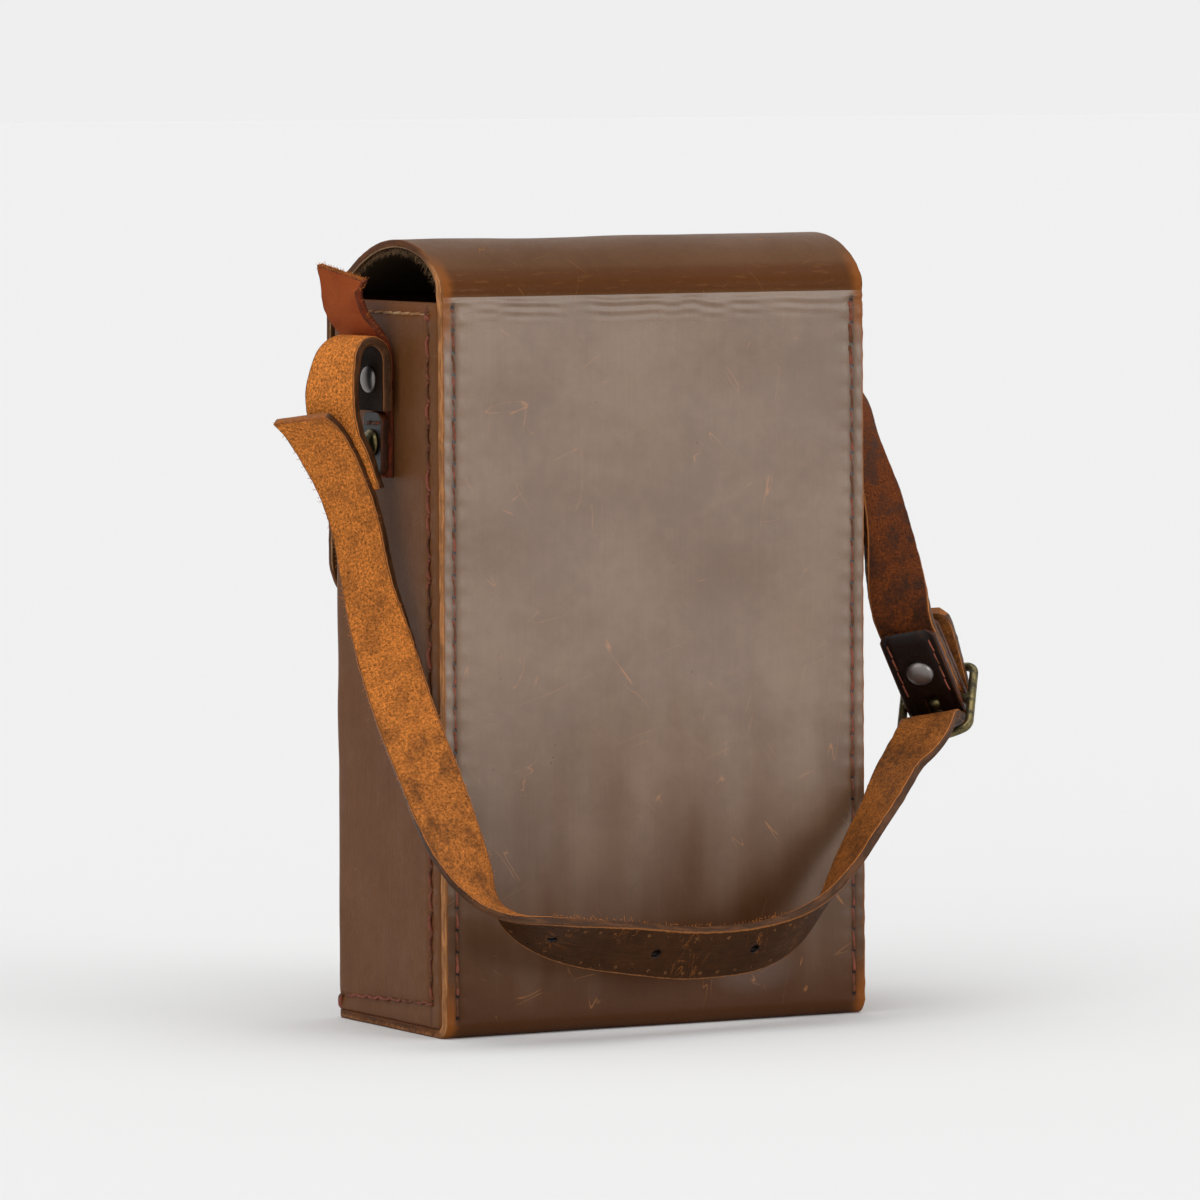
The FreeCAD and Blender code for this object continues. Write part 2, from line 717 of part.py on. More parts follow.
def buckle_frame():
    # Wire frame with round corners, a bowed lower end and a centre bar
    bow = math.radians(frame_bow)
    inner_x = frame_half_width - frame_corner
    top_y = frame_half_height - frame_corner
    join_x = inner_x + frame_corner * math.sin(bow)
    join_y = -top_y - frame_corner * math.cos(bow)
    bow_radius = join_x / math.sin(bow)
    bow_low = join_y + bow_radius * math.cos(bow) - bow_radius
    half_turn = (math.pi / 2 + bow) / 2
    slant = frame_corner * math.sqrt(0.5)

    def at(x, y):
        return Vector(x, y, 0)

    def low_corner(side):
        middle_x = inner_x + frame_corner * math.sin(half_turn)
        middle_y = -top_y - frame_corner * math.cos(half_turn)
        return Part.Arc(at(side * frame_half_width, -top_y), at(side * middle_x, middle_y),
                        at(side * join_x, join_y)).toShape()

    def top_corner(side):
        return Part.Arc(at(side * frame_half_width, top_y),
                        at(side * (inner_x + slant), top_y + slant),
                        at(side * inner_x, frame_half_height)).toShape()

    path = Part.Wire(Part.__sortEdges__([
        Part.makeLine(at(frame_half_width, -top_y), at(frame_half_width, top_y)),
        top_corner(1),
        Part.makeLine(at(inner_x, frame_half_height), at(-inner_x, frame_half_height)),
        top_corner(-1),
        Part.makeLine(at(-frame_half_width, top_y), at(-frame_half_width, -top_y)),
        low_corner(-1),
        Part.Arc(at(-join_x, join_y), at(0, bow_low), at(join_x, join_y)).toShape(),
        low_corner(1),
    ]))
    section = Part.Wire([Part.makeCircle(frame_wire, at(frame_half_width, 0), Vector(0, 1, 0))])
    wire = path.makePipeShell([section], True, False)
    bar = Part.makeCylinder(bar_radius, 2 * frame_half_width,
                            at(-frame_half_width, 0), Vector(1, 0, 0))
    return to_buckle(lean(wire.fuse(bar)))


def rod(route, radius):
    # A bent pin of eight sides along a smooth route in the plane x = 0
    curve = smooth_curve(route)
    first, last = curve.FirstParameter, curve.LastParameter
    count = math.ceil((last - first) / pin_step)
    sections = []
    for index in range(count + 1):
        place = first + (last - first) * index / count
        here = curve.value(place)
        along = unit(curve.tangent(place)[0])
        side = Vector(1, 0, 0)
        out = along.cross(side)
        corners = []
        for corner in range(8):
            angle = math.radians(45 * corner + 22.5)
            corners.append(here + side * (radius * math.cos(angle)) + out * (radius * math.sin(angle)))
        sections.append(corners)
    return facet_solid(sections)


def buckle_prong():
    # A flat loop round the bar and a bowed pin that rests on the upper bar
    half = prong_width / 2
    outer = fold_radius + prong_wall
    loop = Part.makeCylinder(outer, prong_width, Vector(-half, 0, 0), Vector(1, 0, 0))
    bore = Part.makeCylinder(fold_radius, prong_width + 2,
                             Vector(-half - 1, 0, 0), Vector(1, 0, 0))
    route = [
        Vector(0, 1.9, 0.3),
        Vector(0, 4.6, 1.3),
        Vector(0, 7.0, 2.5),
        Vector(0, 7.9, 5.1),
        Vector(0, 6.7, 8.1),
        Vector(0, 3.6, 10.0),
        Vector(0, -0.1, 10.7),
    ]
    pin = rod(route, prong_radius)
    tip = Part.makeSphere(prong_radius, route[-1])
    return to_buckle(loop.fuse([pin, tip]).cut(bore))


def build_nodes():
    return {
        "wrap": wrap(),
        "body_band": body_band(),
        "body_lining": body_lining(),
        "side_lining_left": side_lining(),
        "side_lining_right": mirror_x(side_lining()),
        "snap_stud": snap_stud(),
        "snap_burr": snap_burr(),
        "stump_left": stump(),
        "hanger_left": hanger(-1, left_backing, left_crown),
        "hanger_right": hanger(1, right_backing, right_crown),
        "lug_left": lug(-1, left_backing),
        "lug_right": lug(1, right_backing),
        "side_rivets_left": side_rivets(-1, left_backing),
        "side_rivets_right": side_rivets(1, right_backing),
        "side_washers": side_washers(),
        "lid": lid(),
        "lid_lining": lid_lining(),
        "snap_socket": snap_socket(),
        "snap_cap": snap_cap(),
        "loop_leg_left": loop_leg(),
        "long_strap": long_strap(),
        "short_strap": short_strap(),
        "buckle_chape": buckle_chape(),
        "chape_rivet": chape_rivet(),
        "buckle_frame": buckle_frame(),
        "buckle_prong": buckle_prong(),
    }


def main():
    os.makedirs("parts", exist_ok=True)
    for name, shape in build_nodes().items():
        shape.exportStep(os.path.join("parts", name + ".step"))
        print(name, shape.ShapeType, shape.isValid(), len(shape.Solids), round(shape.Volume, 1))


main()
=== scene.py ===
import math
import random

import bpy
import numpy as np
from bpy.props import FloatProperty, FloatVectorProperty, PointerProperty
from mathutils import Matrix, Vector, noise


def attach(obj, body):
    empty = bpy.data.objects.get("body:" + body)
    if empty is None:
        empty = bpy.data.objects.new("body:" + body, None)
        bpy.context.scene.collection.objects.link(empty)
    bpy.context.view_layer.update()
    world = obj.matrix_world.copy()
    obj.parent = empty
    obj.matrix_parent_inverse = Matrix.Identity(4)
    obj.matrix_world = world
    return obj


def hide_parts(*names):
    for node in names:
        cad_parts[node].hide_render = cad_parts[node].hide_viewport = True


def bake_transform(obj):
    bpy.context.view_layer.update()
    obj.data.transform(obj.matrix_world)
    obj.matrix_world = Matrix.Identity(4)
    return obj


bl_info = {
    "name": "Leather Camera Case",
    "version": (1, 0, 0),
    "blender": (4, 5, 0),
    "location": "View3D > Sidebar > Camera Case",
    "description": "A worn leather camera case with a domed lid, a carrying strap and a buckle",
    "category": "Add Mesh",
}

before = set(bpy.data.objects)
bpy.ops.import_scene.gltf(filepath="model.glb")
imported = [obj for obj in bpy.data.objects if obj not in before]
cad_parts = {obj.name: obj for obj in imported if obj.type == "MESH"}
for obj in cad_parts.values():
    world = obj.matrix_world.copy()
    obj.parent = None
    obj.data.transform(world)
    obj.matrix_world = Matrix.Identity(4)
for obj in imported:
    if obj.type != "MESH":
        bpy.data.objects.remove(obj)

MM = 0.001


# ---- Colours and sizes -------------------------------------------------------------

def linear(red, green, blue):
    """A colour given as it looks on a screen, 0 to 255, as the shader's own values."""
    values = []
    for channel in (red, green, blue):
        share = channel / 255
        values.append(share / 12.92 if share <= 0.04045 else ((share + 0.055) / 1.055) ** 2.4)
    return tuple(values)


def length(name, description, default):
    return FloatProperty(name=name, description=description, default=default, subtype="DISTANCE",
                         unit="LENGTH", precision=5)


def colour(name, description, red, green, blue):
    return FloatVectorProperty(name=name, description=description, subtype="COLOR", size=3,
                               min=0, max=1, default=linear(red, green, blue))


class CaseSizes(bpy.types.PropertyGroup):
    """Sizes of the case, in metres"""

    width: length("Width", "Width of the case across its back", 0.115)
    depth: length("Depth", "Depth of the body between its outer faces", 0.059)
    crease: length("Crease height", "Height of the crease that the lid turns at", 0.1765)
    wall: length("Wall", "Thickness of the body leather", 0.0022)
    lid_wall: length("Lid leather", "Thickness of the lid leather", 0.002)
    bend: length("Base bend", "Outer radius of the bends at the base", 0.004)
    flap_end: length("Flap end", "Height of the lower edge of the front flap", 0.098)
    flap_corner: length("Flap corner", "Radius of the lower corners of the flap", 0.014)
    strap_width: length("Strap width", "Width of the carrying strap", 0.0145)
    strap_thick: length("Strap thickness", "Thickness of the carrying strap", 0.0024)
    pitch: length("Stitch pitch", "Length of one stitch in the upright rows", 0.00528)
    thread: length("Thread", "Radius of the sewing thread", 0.00042)


class CaseColours(bpy.types.PropertyGroup):
    """Colours of the leathers, threads and metals"""

    # The bloom colour is painted sheen: a greyish veil of reflected light given as colour.
    bloom_and_sheen: colour("Bloom", "Greyish bloom on the body leather", 114, 88, 66)
    body: colour("Body", "Body leather under the bloom", 80, 49, 25)
    lid: colour("Lid", "Body leather of the lid", 92, 60, 33)
    rubbed: colour("Rubbed", "Orange tan where the body leather is rubbed", 132, 74, 26)
    side: colour("Side", "Leather of the end panels", 106, 66, 36)
    raw_edge: colour("Raw edge", "Cut edge of the body leather", 190, 128, 76)
    strap_grain: colour("Strap grain", "Dark grain side of the strap", 54, 30, 10)
    strap_flesh: colour("Strap flesh", "Tan flesh side of the strap", 198, 118, 50)
    short_flesh: colour("Short strap", "Rubbed dark leather of the short strap", 104, 50, 14)
    dark: colour("Dark leather", "Polished dark leather of the chape and lugs", 20, 8, 4)
    red: colour("Red split", "Rough red brown leather of the cut stump", 160, 70, 38)
    lining: colour("Lining", "Dark napped lining", 62, 48, 32)
    thread_red: colour("Red thread", "Waxed thread of the body", 148, 80, 62)
    thread_tan: colour("Tan thread", "Pale thread of the hem", 196, 160, 116)
    brass: colour("Brass", "Aged brass of the buckle", 112, 100, 66)
    gunmetal: colour("Gunmetal", "Dark rivet heads", 34, 28, 24)
    floor: colour("Floor", "Pale floor and backdrop", 239, 239, 239)


def sizes():
    return bpy.context.scene.case_sizes


def colours():
    return bpy.context.scene.case_colours


def millimetres(value):
    return value / MM


# ---- Curves and frames along them, in millimetres ----------------------------------

def unit_rows(rows):
    return rows / np.linalg.norm(rows, axis=1)[:, None]


def chord_places(points):
    runs = np.linalg.norm(np.diff(points, axis=0), axis=1)
    return np.concatenate([[0.0], np.cumsum(runs)])


def natural_curve(places, points):
    """A natural cubic curve through the points, as a function of the place along it."""
    steps = np.diff(places)
    count = len(places)
    system = np.eye(count)
    rises = np.zeros_like(points)
    for index in range(1, count - 1):
        before, after = steps[index - 1], steps[index]
        system[index, index - 1:index + 2] = before, 2 * (before + after), after
        rises[index] = 6 * ((points[index + 1] - points[index]) / after
                            - (points[index] - points[index - 1]) / before)
    bends = np.linalg.solve(system, rises)

    def value(at):
        at = np.atleast_1d(np.asarray(at, float))
        span = np.clip(np.searchsorted(places, at) - 1, 0, count - 2)
        run = steps[span][:, None]
        left = (places[span + 1] - at)[:, None]
        right = (at - places[span])[:, None]
        low, high = bends[span], bends[span + 1]
        return (low * left ** 3 + high * right ** 3) / (6 * run) \
            + (points[span] / run - low * run / 6) * left \
            + (points[span + 1] / run - high * run / 6) * right

    return value


class Frames:
    """Places along a sheet with the direction across it and the direction out of it."""

    def __init__(self, places, across, out, along, half):
        self.places = np.asarray(places, float)
        self.across = np.asarray(across, float)
        self.out = np.asarray(out, float)
        self.along = np.asarray(along, float)
        self.half = np.broadcast_to(np.asarray(half, float), (len(self.places),)).copy()


def ribbon_frames(stations, width, step):
    """Frames of a strap through stations of a middle point and a direction across."""
    centres = np.array([centre for centre, across in stations], float)
    across = unit_rows(np.array([across for centre, across in stations], float))
    marks = chord_places(centres)
    middle = natural_curve(marks, centres)
    edge = natural_curve(marks, centres + across * (width / 2))
    count = math.ceil(marks[-1] / step)
    along = np.linspace(0, marks[-1], count + 1)
    places = middle(along)
    small = 0.02
    ahead = unit_rows(middle(np.minimum(along + small, marks[-1]))
                      - middle(np.maximum(along - small, 0)))
    side = edge(along) - places
    side = unit_rows(side - ahead * np.sum(side * ahead, axis=1)[:, None])
    return Frames(places, side, np.cross(ahead, side), along, width / 2)


def profile_frames(outline, across, half, start=0.0):
    """Frames of a sheet bent along an outline of (y, z) points, with one direction across."""
    points = np.array([(0.0, y, z) for y, z in outline])
    along = chord_places(points) + start
    ahead = unit_rows(np.gradient(points, along, axis=0))
    side = np.broadcast_to(np.array(across, float), points.shape)
    return Frames(points, side, np.cross(ahead, side), along, half)


def rough(u, v, scale, seed, depth=2):
    """Smooth seeded noise over the place on a sheet, about -1 to 1."""
    u, v = np.broadcast_arrays(np.asarray(u, float), np.asarray(v, float))
    flat = [noise.fractal(Vector((a / scale, b / scale, seed * 7.31)), 1.0, 2.0, depth)
            for a, b in zip(u.ravel(), v.ravel())]
    return np.array(flat).reshape(u.shape)


def hump(value, middle, spread):
    return np.exp(-((value - middle) / spread) ** 2)


# ---- Meshes ------------------------------------------------------------------------

def add_object(name, points, faces, finishes, face_finish=None, uvs=None, flat=()):
    """A mesh object from points in millimetres. uvs holds one place per point."""
    mesh = bpy.data.meshes.new(name)
    mesh.from_pydata([tuple(point) for point in np.asarray(points) * MM], [], faces)
    for finish in finishes:
        mesh.materials.append(finish)
    smooth = np.ones(len(faces), bool)
    smooth[list(flat)] = False
    mesh.polygons.foreach_set("use_smooth", smooth)
    if face_finish is not None:
        mesh.polygons.foreach_set("material_index", np.asarray(face_finish, np.int32))
    if uvs is not None:
        layer = mesh.uv_layers.new(name="Leather")
        corners = np.zeros(len(mesh.loops), np.int32)
        mesh.loops.foreach_get("vertex_index", corners)
        layer.data.foreach_set("uv", (np.asarray(uvs)[corners] / 100).astype(np.float32).ravel())
    mesh.validate()
    made = bpy.data.objects.new(name, mesh)
    bpy.context.scene.collection.objects.link(made)
    return made


def side_marks(half, fine):
    """Places across a sheet as shares of its half width, closer together at its edges."""
    outer = [half - place for place in fine]
    count = max(2, math.ceil(2 * outer[-1] / 2.4))
    middle = list(np.linspace(-outer[-1], outer[-1], count + 1))[1:-1]
    return np.array([-place for place in outer] + middle + outer[::-1]) / half


STRAP_FINE = (0.0, 0.25, 0.6, 1.1, 1.8)
EDGE_TURNS = (60, 25, 0)


def leather_sheet(name, frames, thick, top, finishes, marks, bevel=0.4, relief=None,
                  under=None, edge=None):
    """A sheet of leather along the frames, with rounded edges.

    Its outer face lies at the distance top from the frames. finishes are those of the
    outer face, of the cut edge and of the inner face. relief and under give how far the
    outer and the inner face stand proud, and edge how far the cut edge does, each as a
    function of the place across and along.
    """
    rows = len(frames.places)
    along = np.repeat(frames.along[:, None], len(marks), axis=1)
    thick = np.broadcast_to(np.asarray(thick, float), (rows,))
    reach = frames.half - bevel
    across = marks[None, :] * reach[:, None]
    raise_outer = relief(across, along) if relief else np.zeros_like(across)
    raise_inner = under(across, along) if under else np.zeros_like(across)
    columns = [(across[:, i], top + raise_outer[:, i]) for i in range(len(marks))]
    turns = []
    for share in EDGE_TURNS:
        angle = math.radians(share)
        turns.append((math.cos(angle) * bevel, -bevel + math.sin(angle) * bevel))
    right, left = [], []
    for sign, side, column in ((1, right, -1), (-1, left, 0)):
        push = edge(sign * frames.half, frames.along) if edge else 0.0
        lift = raise_outer[:, column]
        sink = raise_inner[:, column]
        for out, down in turns:
            side.append((sign * (reach + out + push), top + down + lift))
        for out, down in reversed(turns):
            side.append((sign * (reach + out + push), top - thick - down - sink))
    columns += right
    columns += [(across[:, i], top - thick - raise_inner[:, i])
                for i in reversed(range(len(marks)))]
    columns += left[::-1]
    count = len(columns)
    points = np.zeros((rows, count, 3))
    uvs = np.zeros((rows, count, 2))
    for index, (offset, rise) in enumerate(columns):
        points[:, index] = frames.places + frames.across * np.asarray(offset)[:, None] \
            + frames.out * np.broadcast_to(rise, (rows,))[:, None]
        uvs[:, index, 0] = offset
        uvs[:, index, 1] = frames.along
    middle = len(marks)
    turned = len(right)
    for index in range(turned):
        drop = thick * (index + 0.5) / turned
        uvs[:, middle + index, 0] = frames.half + drop
        uvs[:, 2 * middle + turned + index, 0] = -frames.half - thick + drop
    faces, finish = [], []
    for row in range(rows - 1):
        for index in range(count):
            after = (index + 1) % count
            faces.append((row * count + index, (row + 1) * count + index,
                          (row + 1) * count + after, row * count + after))
            if index < middle - 1:
                finish.append(0)
            elif middle + turned <= index < 2 * middle + turned - 1:
                finish.append(2)
            else:
                finish.append(1)
    flat = []
    for row, turn in ((0, 1), (rows - 1, -1)):
        first = row * count
        for index in range(middle - 1):
            opposite = 2 * middle + turned - 1 - index
            corners = [index, index + 1, opposite - 1, opposite]
            faces.append(tuple(first + corner for corner in corners)[::turn])
        ends = list(range(middle - 1, middle + turned + 1))
        faces.append(tuple(first + corner for corner in ends)[::turn])
        ends = list(range(2 * middle + turned - 1, count)) + [0]
        faces.append(tuple(first + corner for corner in ends)[::turn])
        flat += list(range(len(faces) - middle - 1, len(faces)))
        finish += [1] * (middle + 1)
    return add_object(name, points.reshape(-1, 3), faces, finishes, finish,
                      uvs.reshape(-1, 2), flat)


def turned_solid(name, outline, place, axis, finish, segments=40):
    """A turned piece: an outline of (radius, height) points about the axis at the place."""
    turn = Vector((0, 0, 1)).rotation_difference(Vector(axis)).to_matrix()
    points, faces = [], []
    for radius, height in outline:
        for index in range(segments):
            angle = 2 * math.pi * index / segments
            local = Vector((radius * math.cos(angle), radius * math.sin(angle), height))
            points.append(Vector(place) + turn @ local)
    for row in range(len(outline) - 1):
        for index in range(segments):
            after = (index + 1) % segments
            faces.append((row * segments + index, row * segments + after,
                          (row + 1) * segments + after, (row + 1) * segments + index))
    faces.append(tuple(reversed(range(segments))))
    last = (len(outline) - 1) * segments
    faces.append(tuple(range(last, last + segments)))
    return add_object(name, points, faces, [finish])


def dome_outline(radius, rim, dome, shank=0.0, depth=0.0):
    """Outline of a domed head with a soft rim, on a shank that goes down by the depth."""
    outline = []
    if depth:
        outline += [(shank * 0.6, -depth), (shank, -depth + 0.2), (shank, -0.02)]
    outline += [(radius - 0.15, 0.0), (radius, 0.12), (radius, rim * 0.8)]
    for step in range(1, 11):
        angle = math.pi / 2 * step / 10
        outline.append((radius * math.cos(angle) * 0.99 + 0.002,
                        rim * 0.8 + (rim * 0.2 + dome) * math.sin(angle)))
    return outline


def tube_points(centres, radius, sides, points, faces, flatten=1.0):
    """Adds a closed round tube along the centres to the lists of points and faces."""
    centres = np.asarray(centres, float)
    ahead = unit_rows(np.gradient(centres, axis=0))
    helper = np.array([0.31, 0.52, 0.79])
    side = unit_rows(np.cross(ahead, helper))
    up = np.cross(ahead, side)
    radii = np.broadcast_to(np.asarray(radius, float), (len(centres),))
    first = len(points)
    for row in range(len(centres)):
        for index in range(sides):
            angle = 2 * math.pi * index / sides
            points.append(centres[row] + radii[row] * (
                side[row] * math.cos(angle) + up[row] * math.sin(angle) * flatten))
    for row in range(len(centres) - 1):
        for index in range(sides):
            after = (index + 1) % sides
            low, high = first + row * sides, first + (row + 1) * sides
            faces.append((low + index, low + after, high + after, high + index))
    faces.append(tuple(reversed(range(first, first + sides))))
    last = first + (len(centres) - 1) * sides
    faces.append(tuple(range(last, last + sides)))


def sewn_rows(name, rows, radius, finish, seed, slant=0.3, sink=0.45, rise=0.28):
    """Thread laid from hole to hole. Each row holds (place, out of the leather)."""
    chance = random.Random(seed)
    points, faces = [], []
    for row in rows:
        for (here, out), (there, out_there) in zip(row, row[1:]):
            here, there = np.array(here, float), np.array(there, float)
            out, out_there = np.array(out, float), np.array(out_there, float)
            side = np.cross(there - here, out)
            side /= np.linalg.norm(side)
            tilt = slant * chance.uniform(0.5, 1.4)
            high = rise * chance.uniform(0.75, 1.25)
            thickness = radius * chance.uniform(0.85, 1.15)
            centres = []
            for share, height, shift in ((0.04, -sink, 1), (0.1, -0.02, 0.9), (0.24, high, 0.6),
                                         (0.5, high * 1.15, 0), (0.76, high, -0.6),
                                         (0.9, -0.02, -0.9), (0.96, -sink, -1)):
                normal = out * (1 - share) + out_there * share
                centres.append(here + (there - here) * share + normal * height
                               + side * shift * tilt)
            tube_points(centres, thickness, 8, points, faces)
    return add_object(name, points, faces, [finish])


def loose_fibres(name, roots, reach, finish, seed, radius=0.05):
    """Short stray fibres. roots hold (place, direction that they point along)."""
    chance = random.Random(seed)
    points, faces = [], []
    for place, direction in roots:
        place = np.array(place, float)
        way = np.array(direction, float)
        way += np.array([chance.uniform(-1, 1) for _ in range(3)]) * 0.8
        way /= np.linalg.norm(way)
        bend = np.array([chance.uniform(-1, 1) for _ in range(3)])
        size = reach * chance.uniform(0.35, 1.2)
        centres = [place - way * 0.15 * size, place + way * 0.35 * size + bend * 0.05 * size,
                   place + way * 0.7 * size + bend * 0.2 * size,
                   place + way * size + bend * 0.42 * size]
        tube_points(centres, [radius, radius, radius * 0.8, radius * 0.35], 4, points, faces)
    return add_object(name, points, faces, [finish])


def cut_away(made, cutters):
    """Cuts each cutter out of the mesh and removes it."""
    for cutter in cutters:
        change = made.modifiers.new("cut", "BOOLEAN")
        change.object = cutter
        change.operation = "DIFFERENCE"
        change.solver = "EXACT"
        change.material_mode = "TRANSFER"
        bpy.context.view_layer.update()
        graph = bpy.context.evaluated_depsgraph_get()
        cut = bpy.data.meshes.new_from_object(made.evaluated_get(graph))
        made.modifiers.clear()
        made.data = cut
        bpy.data.objects.remove(cutter)
    return made


def round_cutter(place, axis, radius, depth, finish):
    outline = [(radius, -depth), (radius, depth)]
    return turned_solid("cutter", outline, place, axis, finish, 24)


# ---- Materials ---------------------------------------------------------------------

class Graph:
    """Short ways to add nodes to a tree. Values are numbers, colours or other sockets."""

    def __init__(self, tree):
        self.tree = tree

    def put(self, socket, value):
        if isinstance(value, bpy.types.NodeSocket):
            self.tree.links.new(value, socket)
        elif value is not None:
            if hasattr(socket.default_value, "__len__") and not hasattr(value, "__len__"):
                value = [value] * len(socket.default_value)
            if hasattr(value, "__len__") and len(value) < len(socket.default_value):
                value = tuple(value) + (1.0,)
            socket.default_value = value

    def add(self, kind, inputs=(), **settings):
        node = self.tree.nodes.new(kind)
        for key, value in settings.items():
            setattr(node, key, value)
        for key, value in dict(inputs).items():
            self.put(node.inputs[key], value)
        return node

    def math(self, operation, first, second=None, third=None, clamp=False):
        node = self.add("ShaderNodeMath", operation=operation, use_clamp=clamp)
        for index, value in enumerate((first, second, third)):
            if value is not None:
                self.put(node.inputs[index], value)
        return node.outputs[0]

    def vector(self, operation, first, second=None, scale=None):
        node = self.add("ShaderNodeVectorMath", operation=operation)
        self.put(node.inputs[0], first)
        if second is not None:
            self.put(node.inputs[1], second)
        if scale is not None:
            self.put(node.inputs["Scale"], scale)
        return node.outputs["Value" if operation in ("LENGTH", "DISTANCE") else "Vector"]

    def split(self, vector):
        node = self.add("ShaderNodeSeparateXYZ", {"Vector": vector})
        return node.outputs[0], node.outputs[1], node.outputs[2]

    def join(self, x, y, z=0.0):
        return self.add("ShaderNodeCombineXYZ", {"X": x, "Y": y, "Z": z}).outputs[0]

    def noise(self, vector, size, detail=3.0, roughness=0.55, distortion=0.0):
        """Smooth noise whose features are about the size, in the vector's unit."""
        node = self.add("ShaderNodeTexNoise", {
            "Vector": vector, "Scale": 1 / size, "Detail": detail, "Roughness": roughness,
            "Distortion": distortion})
        return node.outputs["Fac"]

    def cells(self, vector, size, feature="F1", output="Distance", randomness=1.0):
        node = self.add("ShaderNodeTexVoronoi", {
            "Vector": vector, "Scale": 1 / size, "Randomness": randomness}, feature=feature)
        return node.outputs[output]

    def band(self, value, low, high):
        """0 below low and 1 above high, smooth between. Low may be above high."""
        node = self.add("ShaderNodeMapRange", interpolation_type="SMOOTHSTEP")
        self.put(node.inputs["Value"], value)
        self.put(node.inputs["From Min"], low)
        self.put(node.inputs["From Max"], high)
        return node.outputs["Result"]

    def range(self, value, low, high, to_low, to_high):
        node = self.add("ShaderNodeMapRange", clamp=True)
        for index, number in enumerate((value, low, high, to_low, to_high)):
            self.put(node.inputs[index], number)
        return node.outputs["Result"]

    def mix(self, factor, first, second, blend="MIX"):
        node = self.add("ShaderNodeMix", data_type="RGBA", blend_type=blend)
        self.put(node.inputs[0], factor)
        self.put(node.inputs[6], first)
        self.put(node.inputs[7], second)
        return node.outputs[2]

    def stretched(self, vector, x, y, z=1.0):
        return self.vector("MULTIPLY", vector, (x, y, z))

    def group(self, tree, inputs):
        node = self.add("ShaderNodeGroup", node_tree=tree)
        for key, value in inputs.items():
            self.put(node.inputs[key], value)
        return node.outputs


def effect_group(name, inputs, outputs):
    """A new shader node group with those inputs, (name, kind, default), and outputs."""
    tree = bpy.data.node_groups.new(name, "ShaderNodeTree")
    kinds = {"value": "NodeSocketFloat", "vector": "NodeSocketVector", "colour": "NodeSocketColor"}
    for label, kind, default in inputs:
        socket = tree.interface.new_socket(label, in_out="INPUT", socket_type=kinds[kind])
        if default is not None:
            socket.default_value = default
    for label, kind in outputs:
        tree.interface.new_socket(label, in_out="OUTPUT", socket_type=kinds[kind])
    graph = Graph(tree)
    return graph, graph.add("NodeGroupInput").outputs, graph.add("NodeGroupOutput").inputs


def grain_group():
    """Pores and fine creases of leather as a height, and a mask of the creases."""
    graph, source, result = effect_group(
        "Leather Grain", [("Place", "vector", None), ("Size", "value", 1.0)],
        [("Height", "value"), ("Creases", "value")])
    place = graph.vector("DIVIDE", source["Place"], graph.join(
        source["Size"], source["Size"], source["Size"]))
    warp = graph.add("ShaderNodeTexNoise", {"Vector": place, "Scale": 0.9, "Detail": 2.0})
    bent = graph.vector("ADD", place, graph.vector("SCALE", warp.outputs["Color"], scale=0.9))
    pores = graph.cells(bent, 0.55, "SMOOTH_F1")
    creases = graph.cells(bent, 2.1, "DISTANCE_TO_EDGE")
    lines = graph.band(creases, 0.09, 0.0)
    height = graph.math("MULTIPLY_ADD", pores, 0.35, graph.noise(place, 0.35, 3, 0.6))
    graph.put(result["Height"], graph.math("MULTIPLY_ADD", lines, -0.35, height))
    graph.put(result["Creases"], lines)
    return graph.tree


def mottle_group():
    """Large and small changes of tone, as a value about 0.5."""
    graph, source, result = effect_group(
        "Leather Mottle", [("Place", "vector", None), ("Large", "value", 30.0),
                           ("Small", "value", 3.0), ("Share", "value", 0.35)],
        [("Tone", "value")])

    def scaled(size):
        return graph.vector("DIVIDE", source["Place"], graph.join(size, size, size))

    large = graph.noise(scaled(source["Large"]), 1.0, 3, 0.5, 0.4)
    small = graph.noise(scaled(source["Small"]), 1.0, 4, 0.6, 0.2)
    tone = graph.add("ShaderNodeMix", {0: source["Share"], 2: large, 3: small})
    graph.put(result["Tone"], tone.outputs[0])
    return graph.tree


def scratch_group():
    """Thin broken scratches in two directions, and small pits."""
    graph, source, result = effect_group(
        "Leather Scratches", [("Place", "vector", None), ("Amount", "value", 0.5)],
        [("Scratches", "value"), ("Pits", "value")])
    masks = []
    for turn, size, seed in ((0.35, 34.0, 3.1), (-0.9, 26.0, 8.7), (1.35, 40.0, 15.3)):
        turned = graph.add("ShaderNodeVectorRotate", {
            "Vector": source["Place"], "Angle": turn}, rotation_type="Z_AXIS").outputs[0]
        shifted = graph.vector("ADD", turned, (seed, seed * 2.3, 0.0))
        lines = graph.noise(graph.stretched(shifted, 0.16, 1.0), 9.0, 2, 0.5, 0.25)
        thin = graph.band(graph.math("ABSOLUTE", graph.math("SUBTRACT", lines, 0.5)), 0.0045, 0.0)
        where = graph.band(graph.noise(graph.stretched(shifted, 0.5, 1.0), size / 4, 2, 0.5),
                           0.60, 0.66)
        masks.append(graph.math("MULTIPLY", thin, where))
    total = graph.math("ADD", graph.math("ADD", masks[0], masks[1]), masks[2], clamp=True)
    graph.put(result["Scratches"], graph.math("MULTIPLY", total, source["Amount"]))
    spots = graph.cells(source["Place"], 5.5)
    few = graph.band(graph.noise(source["Place"], 11.0, 1), 0.52, 0.62)
    graph.put(result["Pits"], graph.math("MULTIPLY", graph.band(spots, 0.055, 0.02), few))
    return graph.tree


